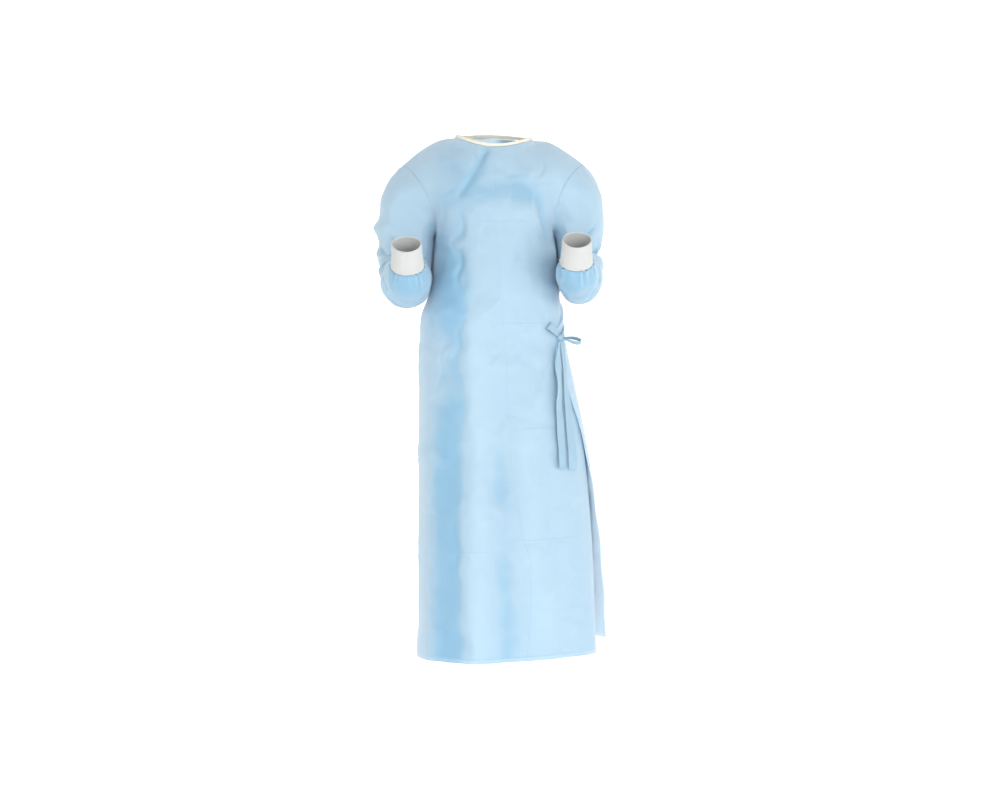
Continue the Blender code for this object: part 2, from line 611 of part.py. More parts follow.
def arm_centres():
    """Stations down the arm: (share of its length, y, z, heading), heading 0 being straight down."""
    turn = math.radians(WRIST_TURN)
    upper_z = (UPPER_RING_IN_Z + UPPER_RING_OUT_Z) / 2
    lengths = [upper_z - ELBOW_Z, ELBOW_RADIUS * math.pi / 2, FOREARM_LENGTH, WRIST_RADIUS * turn]
    total = sum(lengths)
    stations = []
    for k in range(UPPER_RINGS):
        t = k / UPPER_RINGS
        z = upper_z + t * (ELBOW_Z - upper_z)
        stations.append((t * lengths[0] / total, ELBOW_Y + ELBOW_RADIUS, z, 0.0))
    for k in range(ELBOW_RINGS):
        bend = math.pi / 2 * k / ELBOW_RINGS
        y = ELBOW_Y + ELBOW_RADIUS * math.cos(bend)
        z = ELBOW_Z - ELBOW_RADIUS * math.sin(bend)
        done = lengths[0] + lengths[1] * k / ELBOW_RINGS
        stations.append((done / total, y, z, bend))
    low = ELBOW_Z - ELBOW_RADIUS
    for k in range(FOREARM_RINGS):
        t = k / FOREARM_RINGS
        done = lengths[0] + lengths[1] + lengths[2] * t
        stations.append((done / total, ELBOW_Y - FOREARM_LENGTH * t, low, math.pi / 2))
    for k in range(WRIST_RINGS + 1):
        bend = turn * k / WRIST_RINGS
        y = ELBOW_Y - FOREARM_LENGTH - WRIST_RADIUS * math.sin(bend)
        z = low + WRIST_RADIUS * (1 - math.cos(bend))
        done = sum(lengths[:3]) + lengths[3] * k / WRIST_RINGS
        stations.append((done / total, y, z, math.pi / 2 + bend))
    return stations


def side_reach(side, y, z):
    """How far the body reaches to one side at a depth and height, below the shoulder."""
    z = np.clip(z, HEM_Z, ARMPIT_Z)
    edge = along_table(BODY_ROWS, "z", "left" if side > 0 else "right", z)
    front = along_table(BODY_ROWS, "z", "front", z)
    back = along_table(BODY_ROWS, "z", "back", z)
    ridge = np.where(y < 0, along_table(BODY_ROWS, "z", "ridge", z), BACK_RIDGE)
    deep = np.clip(np.abs(y / np.where(y < 0, front, back)), 0, 1)
    return side * (ridge + (edge - ridge) * (1 - deep**ARM_SIDE_FULL) ** (1 / ARM_SIDE_FULL))


def arm_ring(side, rows, station, folds):
    """One ring of a sleeve's outer points."""
    along, y, z, heading = station
    turn = np.arange(SLEEVE_POINTS) / SLEEVE_POINTS
    angle = 2 * math.pi * turn
    centre, across, deep = (float(along_table(rows, "along", f, along)) for f in ArmRow._fields[1:])
    swell = np.zeros(SLEEVE_POINTS)
    for fold in folds:
        apart = np.abs((turn - fold.turn + 0.5) % 1 - 0.5)
        near = np.exp(-(((along - fold.along) / fold.length) ** 2))
        swell += fold.depth * near * np.exp(-((apart / fold.spread) ** 2))
    out = -(across + swell) * np.cos(angle)
    away = np.maximum((deep + swell) * np.sin(angle), CROOK_ROOM - ELBOW_RADIUS)
    x = centre + out
    points_y = y + away * math.cos(heading)
    points_z = z - away * math.sin(heading)
    down_arm = min(along / UPPER_SHARE, 1.0)
    tilt = (UPPER_RING_OUT_Z - UPPER_RING_IN_Z) / 2 * (1 - down_arm)
    points_z += -np.cos(angle) * tilt
    points_z += LEFT_ARM_LIFT * (side > 0) * down_arm
    reach = side_reach(side, points_y, points_z) + BODY_CLEARANCE
    if side > 0:
        stand = along_table(FLAP_ROWS, "z", "stand", points_z)
        below = ease((FLAP_UNDER_ARM_Z - points_z) / FLAP_UNDER_ARM_SPREAD)
        reach += stand * below * ease(points_y / FLAP_UNDER_ARM_Y)
    near_body = points_z < ARMPIT_Z + UNDER_ARM_ABOVE
    x = np.where(near_body, np.maximum(x, reach), x)
    return np.stack([side * x, points_y, points_z], axis=-1)


def sleeve_rings(side, rows, folds, hole_outer, hole_inner):
    """All the rings of a sleeve, outer and inner, from the armhole to the cuff."""
    stations = arm_centres()
    tube = [arm_ring(side, rows, station, folds) for station in stations]
    turn = np.arange(SLEEVE_POINTS) / SLEEVE_POINTS
    edge_way = np.roll(hole_outer, -1, axis=0) - np.roll(hole_outer, 1, axis=0)
    way = side * np.cross(hole_outer - hole_inner, edge_way)
    way /= np.linalg.norm(way, axis=1)[:, None]
    lead = along_table(SLEEVE_HEAD, "around", "lead", turn)[:, None]
    arrive = along_table(SLEEVE_HEAD, "around", "arrive", turn)[:, None]
    start, end = hole_outer + way * SEAM, tube[0]
    before_end = end + arrive * np.array([0.0, 0.0, 1.0])
    shares = (np.arange(HEAD_RINGS) / HEAD_RINGS) ** HEAD_SPACING
    head = [bezier(start, start + way * lead, before_end, end, share) for share in shares]
    outer = np.array(head + tube)
    pleat = np.where(np.arange(SLEEVE_POINTS) % 2 == 0, GATHER, -GATHER)
    centre = outer[-1].mean(axis=0)
    spoke = outer[-1] - centre
    outer[-1] += spoke / np.linalg.norm(spoke, axis=1)[:, None] * pleat[:, None]
    round_it = np.roll(outer, -1, axis=1) - np.roll(outer, 1, axis=1)
    down_it = np.gradient(outer, axis=0)
    normal = side * np.cross(round_it, down_it)
    normal /= np.linalg.norm(normal, axis=2)[:, :, None]
    inner = outer - normal * WALL
    inner[0] = hole_inner + way * SEAM
    return outer, inner


def cuff_rings(side, sleeve_outer):
    """Outer and inner rings of a cuff, which starts at the sleeve's last ring."""
    centre = sleeve_outer[-1].mean(axis=0)
    heading = math.radians(90 + WRIST_TURN)
    axis = np.array([0.0, -math.sin(heading), -math.cos(heading)])
    aside = np.array([side * 1.0, 0.0, 0.0])
    deep_way = np.array([0.0, math.cos(heading), -math.sin(heading)])
    rows = RIGHT_ARM if side < 0 else LEFT_ARM
    angle = 2 * math.pi * np.arange(SLEEVE_POINTS) / SLEEVE_POINTS
    outer, inner = [], []
    for k in range(CUFF_RINGS + 1):
        t = k / CUFF_RINGS
        size = 1 - (1 - CUFF_TOP_SHARE) * t
        middle = centre + axis * (SEAM + CUFF_LENGTH * t)
        for grid, inset in ((outer, CUFF_INSET), (inner, CUFF_INSET + WALL)):
            across = rows[-1].across * size - inset
            deep = rows[-1].deep * size - inset
            ring = -np.cos(angle)[:, None] * across * aside + np.sin(angle)[:, None] * deep * deep_way
            grid.append(middle + ring)
    return np.array(outer), np.array(inner)


def binding_grid():
    """Outer and inner points of the neck binding, a strip that stands on the neckline."""
    right, left = RIGHT_SHOULDER[-1], LEFT_SHOULDER[-1]
    past = math.asin(BINDING_END / ((left.x - right.x) / 2))
    turn = np.linspace(1.5 * math.pi + past, -0.5 * math.pi - past, BINDING_STEPS + 1)
    edge = neckline(turn)
    ahead = neckline(turn - STEP) - neckline(turn + STEP)
    out = np.cross([0.0, 0.0, 1.0], ahead)
    out /= np.linalg.norm(out, axis=1)[:, None]
    lean = np.array([0.0, 0.0, 1.0]) - out * BINDING_LEAN
    lean /= np.linalg.norm(lean, axis=1)[:, None]
    overlap_end = turn[0] - 2 * past
    lap = -BINDING_LAP * (1 - ease((overlap_end - turn) / (overlap_end - math.pi)))[:, None]
    low = edge + out * lap + lean * SEAM
    high = low + lean * BINDING_HEIGHT
    outer = np.stack([low, high], axis=1)
    return outer, outer - out[:, None] * BINDING_WALL


def over_front(x, z, off):
    """The place at x and z that stands off the front panel by a distance square to it."""
    line = half_section(z, True)[:, :2]
    ahead = np.gradient(line, axis=0)
    ahead /= np.linalg.norm(ahead, axis=1)[:, None]
    shifted = line + np.stack([ahead[:, 1], -ahead[:, 0]], axis=-1) * off
    last = int(np.argmax(shifted[:, 0])) + 1
    return np.array([x, np.interp(x, shifted[:last, 0], shifted[:last, 1]), z])


def sweep(points, across, widths, wall):
    """Outer and inner grids of a flat strip along points, across giving its width's direction."""
    points = np.array(points)
    ahead = np.gradient(points, axis=0)
    out = np.cross(across, ahead)
    out /= np.linalg.norm(out, axis=1)[:, None]
    half = across * np.array(widths)[:, None] / 2
    outer = np.stack([points - half + out * wall / 2, points + half + out * wall / 2], axis=1)
    inner = np.stack([points - half - out * wall / 2, points + half - out * wall / 2], axis=1)
    return outer, inner


def hanging_strip(name, rows):
    """A strip of the tie that follows a table of places on the front."""
    points = [over_front(row.x, row.z, row.off) for row in rows]
    facing = np.radians([row.facing for row in rows])
    across = np.stack([np.cos(facing), np.sin(facing), 0 * facing], axis=-1)
    outer, inner = sweep(points, across, [row.width for row in rows], TIE_WALL)
    return add_wall(name, outer, inner, False, PALE_BLUE, CLOTH_ROUGHNESS)


def add_knot():
    """The knot, a small rounded lump."""
    centre, size = over_front(KNOT_X, KNOT_Z, KNOT_OFF), np.array(KNOT_SIZE)
    points = [centre + size * (0, 0, 1)]
    for ring in range(1, KNOT_RINGS):
        tilt = math.pi * ring / KNOT_RINGS
        for k in range(KNOT_POINTS):
            turn = 2 * math.pi * k / KNOT_POINTS
            unit = (math.sin(tilt) * math.cos(turn), math.sin(tilt) * math.sin(turn), math.cos(tilt))
            points.append(centre + size * unit)
    points.append(centre - size * (0, 0, 1))
    faces = []
    for k in range(KNOT_POINTS):
        nxt = (k + 1) % KNOT_POINTS
        faces.append([0, 1 + k, 1 + nxt])
        for ring in range(KNOT_RINGS - 2):
            first = 1 + ring * KNOT_POINTS
            second = first + KNOT_POINTS
            faces.append([first + k, second + k, second + nxt, first + nxt])
        last = 1 + (KNOT_RINGS - 2) * KNOT_POINTS
        faces.append([len(points) - 1, last + nxt, last + k])
    return add_piece("tie_knot", np.array(points), faces, PALE_BLUE, CLOTH_ROUGHNESS)


def add_loop(name, way):
    """A loop of the bow: out from the knot and back, its two runs spread apart."""
    rise, heading = math.radians(way.rise), math.radians(way.heading)
    flat = np.array([math.cos(heading), math.sin(heading), 0.0])
    out = flat * math.cos(rise) + np.array([0.0, 0.0, math.sin(rise)])
    spread = np.array(way.spread) - out * np.dot(way.spread, out)
    spread /= np.linalg.norm(spread)
    across = np.cross(out, spread)
    start = over_front(KNOT_X, KNOT_Z, KNOT_OFF) + out * LOOP_ROOT
    reach = [start + out * row.reach * way.length for row in LOOP_ROWS]
    tip = reach[-1] + out * LOOP_ROWS[-1].open / 2
    path = [p - spread * row.open for p, row in zip(reach, LOOP_ROWS)] + [tip]
    path += [p + spread * row.open for p, row in zip(reach[::-1], LOOP_ROWS[::-1])]
    widths = [row.width for row in LOOP_ROWS]
    widths += widths[-1:] + widths[::-1]
    outer, inner = sweep(path, np.tile(across, (len(path), 1)), widths, TIE_WALL)
    return add_wall(name, outer, inner, False, PALE_BLUE, CLOTH_ROUGHNESS)


def add_tie():
    """The whole tie: knot, two loops, two tails and the straps that carry it."""
    add_knot()
    add_loop("tie_loop_front", LOOP_FRONT)
    add_loop("tie_loop_side", LOOP_SIDE)
    hanging_strip("tie_tail_front", TAIL_FRONT)
    hanging_strip("tie_tail_side", TAIL_SIDE)
    hanging_strip("tie_strap_back", STRAP_BACK)
    hanging_strip("tie_strap_flap", STRAP_FLAP)


def build():
    """Builds the whole gown."""
    clear_scene()
    front, back_outer, back_under = front_grid(), back_outer_grid(), back_under_grid()
    add_wall("front", *front, False, BLUE, CLOTH_ROUGHNESS)
    add_wall("back_right", *back_outer, False, BLUE, CLOTH_ROUGHNESS)
    add_wall("back_left", *back_under, False, BLUE, CLOTH_ROUGHNESS)
    sides = (
        ("right", -1, RIGHT_ARM, RIGHT_SLEEVE_FOLDS, back_outer),
        ("left", 1, LEFT_ARM, LEFT_SLEEVE_FOLDS, back_under),
    )
    for name, side, rows, folds, back in sides:
        outer, inner = sleeve_rings(side, rows, folds, *armhole(side, front, back))
        add_wall(f"sleeve_{name}", outer, inner, True, BLUE, CLOTH_ROUGHNESS)
        add_wall(f"cuff_{name}", *cuff_rings(side, outer), True, KNIT_WHITE, KNIT_ROUGHNESS)
    add_wall("neck_binding", *binding_grid(), False, CREAM, CLOTH_ROUGHNESS)
    add_tie()


build()
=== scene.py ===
"""Looks of a worn surgical gown: nonwoven panels, knit cuffs, bound neck, side tie and a studio.

Metres, +Z up. The gown faces -Y and the wearer's left is +X. Every cloth piece repeats the form of
its solid, more finely, and adds the creases, gathers, ribs and stitches that show.
"""

from __future__ import annotations

import logging
import math
from dataclasses import dataclass, field
from enum import Enum
from typing import Sequence

import bmesh
import bpy
import numpy as np
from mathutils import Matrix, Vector


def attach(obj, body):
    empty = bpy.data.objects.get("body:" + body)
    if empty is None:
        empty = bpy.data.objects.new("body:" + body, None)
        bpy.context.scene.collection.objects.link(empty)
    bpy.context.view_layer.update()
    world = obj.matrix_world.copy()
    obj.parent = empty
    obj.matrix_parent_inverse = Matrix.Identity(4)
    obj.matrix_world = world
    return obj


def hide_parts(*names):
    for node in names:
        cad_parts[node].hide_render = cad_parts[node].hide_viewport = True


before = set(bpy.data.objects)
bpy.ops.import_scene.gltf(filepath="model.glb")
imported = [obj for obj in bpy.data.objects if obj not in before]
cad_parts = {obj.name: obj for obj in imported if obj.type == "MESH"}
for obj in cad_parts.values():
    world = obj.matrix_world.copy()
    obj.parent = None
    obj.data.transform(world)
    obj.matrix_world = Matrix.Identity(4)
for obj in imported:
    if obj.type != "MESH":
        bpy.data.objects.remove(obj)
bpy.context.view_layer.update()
LOG = logging.getLogger("gown")

Array = np.ndarray
Colour = tuple[float, float, float]

SEAM = 0.0003  # gap between two pieces that are sewn together
STEP = 0.002  # step for surface slopes, in the surface's own coordinates
CLOTH_WALL = 0.0009  # thickness of the cloth shells
RIGHT_SEAM, LEFT_SEAM, BACK_MIDDLE = 0.0, 0.5, 0.75  # places round the body
RIB_COUNT = 104  # ribs round a knit cuff


class Side(Enum):
    """The wearer's two sides, with the sign of X on each."""

    RIGHT = -1
    LEFT = 1


def ease(x: Array | float) -> Array:
    """A smooth step from 0 to 1."""
    x = np.clip(x, 0.0, 1.0)
    return x * x * (3 - 2 * x)


def bezier(a: Array, b: Array, c: Array, d: Array, t: Array | float) -> Array:
    """A point of a cubic curve, or one of each of many."""
    u = 1 - t
    return u**3 * a + 3 * u * u * t * b + 3 * u * t * t * c + t**3 * d


def unit(vectors: Array) -> Array:
    """The vectors made one long."""
    return vectors / np.linalg.norm(vectors, axis=-1, keepdims=True)


def evenly(points: Array, shares: Array) -> Array:
    """Points at the given shares of the way along a polyline.

    Args:
        points: The polyline's corners.
        shares: Places along it, from 0 to 1.

    Returns:
        One point for each share.
    """
    way = np.concatenate([[0.0], np.cumsum(np.linalg.norm(np.diff(points, axis=0), axis=1))])
    at = np.asarray(shares, float) * way[-1]
    return np.stack([np.interp(at, way, points[:, k]) for k in range(points.shape[1])], axis=-1)


@dataclass(frozen=True)
class Profile:
    """A short table of sizes, keyed by its first column and read on a smooth curve."""

    columns: tuple[str, ...]
    rows: tuple[tuple[float, ...], ...]

    def read(self, column: str, at: Array | float) -> Array:
        """Reads one column.

        Args:
            column: The column's name.
            at: Values of the key, inside or outside the table's range.

        Returns:
            The column's values there.
        """
        keys = np.array([row[0] for row in self.rows], float)
        place = self.columns.index(column)
        values = np.array([row[place] for row in self.rows], float)
        slopes = np.gradient(values, keys)
        at = np.clip(np.asarray(at, float), keys[0], keys[-1])
        i = np.clip(np.searchsorted(keys, at, side="right") - 1, 0, len(keys) - 2)
        span = keys[i + 1] - keys[i]
        t = (at - keys[i]) / span
        start = (1 + 2 * t) * (1 - t) ** 2 * values[i] + t * (1 - t) ** 2 * span * slopes[i]
        end = t * t * (3 - 2 * t) * values[i + 1] - t * t * (1 - t) * span * slopes[i + 1]
        return start + end


@dataclass(frozen=True)
class Rumple:
    """An even, soft unevenness of cloth: a sum of a few waves of mixed lengths and directions."""

    length: float
    depth: float
    seed: int
    waves: int = 14

    def at(self, flat: Array) -> Array:
        """Depth at points of a flat pattern.

        Args:
            flat: Two coordinates a point, in metres.

        Returns:
            One depth a point.
        """
        rng = np.random.default_rng(self.seed)
        total = np.zeros(flat.shape[:-1])
        for _ in range(self.waves):
            turn = rng.uniform(0, 2 * math.pi)
            number = 2 * math.pi / (self.length * rng.uniform(0.6, 1.7))
            along = flat[..., 0] * math.cos(turn) + flat[..., 1] * math.sin(turn)
            total += np.sin(along * number + rng.uniform(0, 2 * math.pi))
        return self.depth * total / math.sqrt(self.waves / 2)


def wander(flat: Array, reach: float = 0.0042) -> Array:
    """Points of a flat plane pushed about softly, so that nothing drawn on them runs dead straight."""
    pushes = [Rumple(0.060, reach, 401).at(flat) + Rumple(0.024, reach * 0.12, 403).at(flat),
              Rumple(0.075, reach, 402).at(flat)]
    return flat + np.stack(pushes, axis=-1)


def soften(rows: Array, strength: Array, spread: float = 7.0) -> Array:
    """Rounds off breaks along each row of a grid.

    Args:
        rows: Points, row by row.
        strength: How much of the rounding each point takes, from 0 to 1.
        spread: Width of the rounding, in columns.

    Returns:
        The rounded points, with both ends of each row kept.
    """
    half = int(spread * 3)
    weights = np.exp(-((np.arange(-half, half + 1) / spread) ** 2) / 2)
    weights /= weights.sum()
    first, last = rows[:, :1], rows[:, -1:]
    ahead = 2 * first - rows[:, half:0:-1]
    after = 2 * last - rows[:, -2:-half - 2:-1]
    long = np.concatenate([ahead, rows, after], axis=1)
    soft = sum(w * long[:, k:k + rows.shape[1]] for k, w in enumerate(weights))
    return rows + (soft - rows) * strength[..., None]


@dataclass(frozen=True)
class Crease:
    """A soft ridge, depth above 0, or trough, below 0, along a path in a flat plane.

    The profile is steeper on one side where lean is not 0, as in papery cloth.
    """

    path: tuple[tuple[float, float], ...]
    width: float
    depth: float
    lean: float = 0.0
    fade_in: float = 0.22
    fade_out: float = 0.28

    def measure(self, flat: Array) -> tuple[Array, Array]:
        """Signed distance to the path and share of the way along it.

        Args:
            flat: Two coordinates a point.

        Returns:
            The distances, above 0 on the left of the path, and the shares.
        """
        corners = np.array(self.path, float)
        lengths = np.linalg.norm(np.diff(corners, axis=0), axis=1)
        before = np.concatenate([[0.0], np.cumsum(lengths)])
        best = np.full(flat.shape[:-1], np.inf)
        signed, share = np.zeros_like(best), np.zeros_like(best)
        for k in range(len(lengths)):
            way = (corners[k + 1] - corners[k]) / lengths[k]
            offset = flat - corners[k]
            raw = offset @ way
            along = raw if len(lengths) == 1 else np.clip(raw, 0.0 if k else raw, lengths[k])
            if 0 < k == len(lengths) - 1:
                along = np.maximum(raw, 0.0)
            gap = offset - along[..., None] * way
            apart = np.linalg.norm(gap, axis=-1)
            side = np.where(offset[..., 0] * way[1] - offset[..., 1] * way[0] < 0, 1.0, -1.0)
            nearer = apart < best
            best = np.where(nearer, apart, best)
            signed = np.where(nearer, apart * side, signed)
            share = np.where(nearer, (before[k] + along) / before[-1], share)
        return signed, share

    def at(self, flat: Array) -> Array:
        """Depth at points of the plane.

        Args:
            flat: Two coordinates a point.

        Returns:
            One depth a point.
        """
        signed, share = self.measure(flat)
        width = self.width * (1 + self.lean * np.sign(signed)) * (0.8 + 0.4 * np.clip(share, 0, 1))
        fade = ease(share / self.fade_in) * ease((1 - share) / self.fade_out)
        sway = 1 + 0.22 * np.sin(9.0 * share + 40.0 * self.width + self.path[0][0] * 90)
        return self.depth * fade * sway * np.exp(-((signed / width) ** 2))


@dataclass(frozen=True)
class BodyForm:
    """The surface that the three body panels lie on, from the hem to the shoulder line.

    A place round the body is 0 at the right side seam, a quarter at the middle of the front, a
    half at the left seam and three quarters at the middle of the back. A level is -1 at the hem,
    0 at the armpit and 1 at the shoulder line.
    """

    hem_z: float = -1.165
    armpit_z: float = -0.228
    arc_samples: int = 90
    neck_share: float = 0.12
    shoulder_level: float = 0.80
    shoulder_spread: float = 0.19
    shoulder_past: float = 1.25
    back_ridge: float = 0.015
    hem_lift: float = 0.004
    hem_lift_x: float = -0.020
    hem_lift_spread: float = 0.120
    neck_front: tuple[float, float] = (-0.082, -0.026)
    neck_back: tuple[float, float] = (0.062, 0.010)
    sections: Profile = Profile(
        ("z", "right", "left", "ridge", "front", "back", "full_right", "full_left", "full_back"),
        (
            (-1.165, -0.173, 0.226, -0.045, -0.172, 0.160, 2.00, 1.70, 2.10),
            (-0.930, -0.173, 0.218, -0.042, -0.158, 0.150, 2.00, 1.80, 2.15),
            (-0.706, -0.173, 0.198, -0.038, -0.146, 0.137, 2.05, 1.90, 2.20),
            (-0.560, -0.172, 0.172, -0.034, -0.136, 0.124, 2.10, 2.00, 2.25),
            (-0.460, -0.171, 0.153, -0.030, -0.128, 0.110, 2.15, 2.10, 2.30),
            (-0.400, -0.166, 0.147, -0.026, -0.127, 0.103, 2.20, 2.20, 2.30),
            (-0.360, -0.151, 0.144, -0.020, -0.129, 0.101, 2.25, 2.25, 2.30),
            (-0.310, -0.142, 0.140, -0.010, -0.132, 0.103, 2.30, 2.30, 2.30),
            (-0.228, -0.134, 0.131, 0.000, -0.132, 0.107, 2.35, 2.35, 2.30),
        ),
    )
    right_shoulder: Profile = Profile(
        ("share", "x", "y", "z"),
        (
            (0.00, -0.208, 0.000, -0.066),
            (0.35, -0.168, 0.002, -0.033),
            (0.70, -0.127, 0.004, -0.010),
            (1.00, -0.091, 0.004, -0.004),
        ),
    )
    left_shoulder: Profile = Profile(
        ("share", "x", "y", "z"),
        (
            (0.00, 0.197, 0.000, -0.064),
            (0.35, 0.160, 0.002, -0.037),
            (0.70, 0.120, 0.004, -0.014),
            (1.00, 0.084, 0.004, -0.010),
        ),
    )
    yoke_front: Profile = Profile(
        ("share", "rise_out", "rise_y", "rise_z", "fall_out", "fall_y", "fall_z"),
        (
            (0.00, -0.016, -0.066, 0.030, -0.048, -0.104, -0.036),
            (0.22, -0.012, -0.062, 0.050, -0.022, -0.090, -0.022),
            (0.48, 0.000, -0.034, 0.066, -0.004, -0.090, -0.026),
            (0.72, 0.000, -0.012, 0.072, 0.000, -0.044, -0.046),
            (1.00, 0.000, -0.007, 0.076, 0.000, -0.034, -0.054),
        ),
    )
    yoke_back: Profile = Profile(
        ("share", "rise_out", "rise_y", "rise_z", "fall_out", "fall_y", "fall_z"),
        (
            (0.00, 0.002, 0.080, 0.020, -0.026, 0.082, -0.030),
            (0.22, 0.004, 0.048, 0.050, -0.014, 0.078, -0.018),
            (0.48, 0.000, 0.028, 0.066, 0.000, 0.078, -0.020),
            (0.72, 0.000, 0.010, 0.072, 0.000, 0.040, -0.038),
            (1.00, 0.000, 0.005, 0.076, 0.000, 0.030, -0.046),
        ),
    )

    def quarter(self, z: float, x_side: float, x_ridge: float, y_ridge: float, full: float) -> Array:
        """A quarter of a section, from its side seam to its ridge."""
        angle = np.linspace(0.0, math.pi / 2, self.arc_samples)
        across = np.abs(np.cos(angle)) ** (2 / full)
        deep = np.abs(np.sin(angle)) ** (2 / full)
        return np.stack([x_ridge + (x_side - x_ridge) * across, y_ridge * deep, np.full_like(across, z)], -1)

    def half_section(self, z: float, front: bool) -> Array:
        """Half of the section at a height.

        Args:
            z: The height.
            front: True for the front half.

        Returns:
            Points from the right side seam to the left one.
        """
        key = min(max(z, self.hem_z), self.armpit_z)
        row = {name: float(self.sections.read(name, key)) for name in self.sections.columns[1:]}
        ridge = row["ridge"] if front else self.back_ridge
        reach = row["front"] if front else row["back"]
        fulls = (row["full_right"], row["full_left"]) if front else (row["full_back"], row["full_back"])
        first = self.quarter(z, row["right"], ridge, reach, fulls[0])
        second = self.quarter(z, row["left"], ridge, reach, fulls[1])[::-1]
        return np.concatenate([first, second[1:]])

    def skirt(self, around: Array, z: float) -> Array:
        """Points below the armpit, at places round the body and one height."""
        around = np.mod(around, 1.0)
        front = evenly(self.half_section(z, True), np.clip(around * 2, 0, 1))
        back = evenly(self.half_section(z, False), np.clip((1 - around) * 2, 0, 1))
        points = np.where((around <= LEFT_SEAM)[:, None], front, back)
        low = ease((self.armpit_z - z) / (self.armpit_z - self.hem_z)) ** 2
        lift = ease((points[:, 0] - self.hem_lift_x) / self.hem_lift_spread)
        points[:, 2] += self.hem_lift * low * lift
        return points

    def neckline(self, turn: Array) -> Array:
        """The neckline: 0 at the right shoulder seam, above 0 over the front to pi at the left."""
        right, left = self.right_shoulder.rows[-1][1:], self.left_shoulder.rows[-1][1:]
        middle, half = (right[0] + left[0]) / 2, (left[0] - right[0]) / 2
        ahead = np.sin(turn) > 0
        reach = np.where(ahead, self.neck_front[0], -self.neck_back[0])
        rise = np.where(ahead, self.neck_front[1], self.neck_back[1])
        x = middle - half * np.cos(turn)
        y = right[1] + reach * np.sin(turn)
        z = right[2] + (left[2] - right[2]) * (1 - np.cos(turn)) / 2 + rise * np.sin(turn) ** 2
        return np.stack([x, y, z], axis=-1)

    def shoulder_line(self, around: Array) -> Array:
        """The shoulder seams and the neckline, at places round the body."""
        around = np.clip(around, 0.0, 1.0)
        front = around <= LEFT_SEAM
        half = np.where(front, around, 1 - around) * 2
        seam_share = 2 * self.neck_share
        points = np.zeros((len(around), 3))
        for table, share in ((self.right_shoulder, half), (self.left_shoulder, 1 - half)):
            on_seam = share <= seam_share
            for k, column in enumerate("xyz"):
                points[:, k] = np.where(on_seam, table.read(column, share / seam_share), points[:, k])
        turn = math.pi * np.clip((half - seam_share) / (1 - 2 * seam_share), 0, 1)
        neck = self.neckline(np.where(front, turn, -turn))
        on_neck = (half > seam_share) & (half < 1 - seam_share)
        points[on_neck] = neck[on_neck]
        return points

    def yoke(self, around: Array, level: float) -> Array:
        """Points above the armpit; level runs from 0 there to 1 at the shoulder line."""
        around = np.clip(around, 0.0, 1.0)
        low, high = self.skirt(around, self.armpit_z), self.shoulder_line(around)
        front = around <= LEFT_SEAM
        half = np.where(front, around, 1 - around) * 2
        side = np.where(half < 0.5, -1.0, 1.0)
        share = 1 - np.abs(half - 0.5) * 2
        handles = {
            name: np.where(front, self.yoke_front.read(name, share), self.yoke_back.read(name, share))
            for name in self.yoke_front.columns[1:]
        }
        rise = np.stack([side * handles["rise_out"], handles["rise_y"], handles["rise_z"]], axis=-1)
        fall = np.stack([side * handles["fall_out"], handles["fall_y"], handles["fall_z"]], axis=-1)
        return bezier(low, low + rise, high + fall, high, level)

    def points(self, around: Array, level: float) -> Array:
        """The surface at places round it and one level."""
        if level <= 0:
            return self.skirt(around, self.armpit_z + level * (self.armpit_z - self.hem_z))
        return self.yoke(around, min(level, 1.0))

    def normals(self, around: Array, level: float, low_end: float, high_end: float) -> Array:
        """Outward directions, kept within one panel above the armpit.

        Args:
            around: Places round the body.
            level: The level.
            low_end: The panel's first place round the body.
            high_end: Its last place.

        Returns:
            One unit vector a place.
        """
        before, after = around - STEP, around + STEP
        if level > 0:
            before, after = np.clip(before, low_end, high_end), np.clip(after, low_end, high_end)
        across = self.points(after, level) - self.points(before, level)
        above = level if level == 0 else min(level + STEP, 1.0)
        up = self.points(around, above) - self.points(around, level - STEP)
        normal = unit(np.cross(across, up))
        half = np.minimum(np.minimum(around, 1 - around), np.abs(around - LEFT_SEAM))
        past = self.neck_share * (self.shoulder_past - 1)
        on_seam = ease((self.neck_share * self.shoulder_past - half) / past)
        normal[:, 1] *= 1 - ease((level - self.shoulder_level) / self.shoulder_spread) * on_seam
        return unit(normal)

    def height(self, level: float) -> float:
        """The nominal height of a level."""
        return self.armpit_z + level * ((self.armpit_z - self.hem_z) if level <= 0 else -self.armpit_z)

    def over_front(self, x: float, z: float, off: float) -> Array:
        """The place at x and z that stands off the front by a distance square to it."""
        line = self.half_section(z, True)[:, :2]
        ahead = unit(np.gradient(line, axis=0))
        shifted = line + np.stack([ahead[:, 1], -ahead[:, 0]], axis=-1) * off
        last = int(np.argmax(shifted[:, 0])) + 1
        return np.array([x, np.interp(x, shifted[:last, 0], shifted[:last, 1]), z])


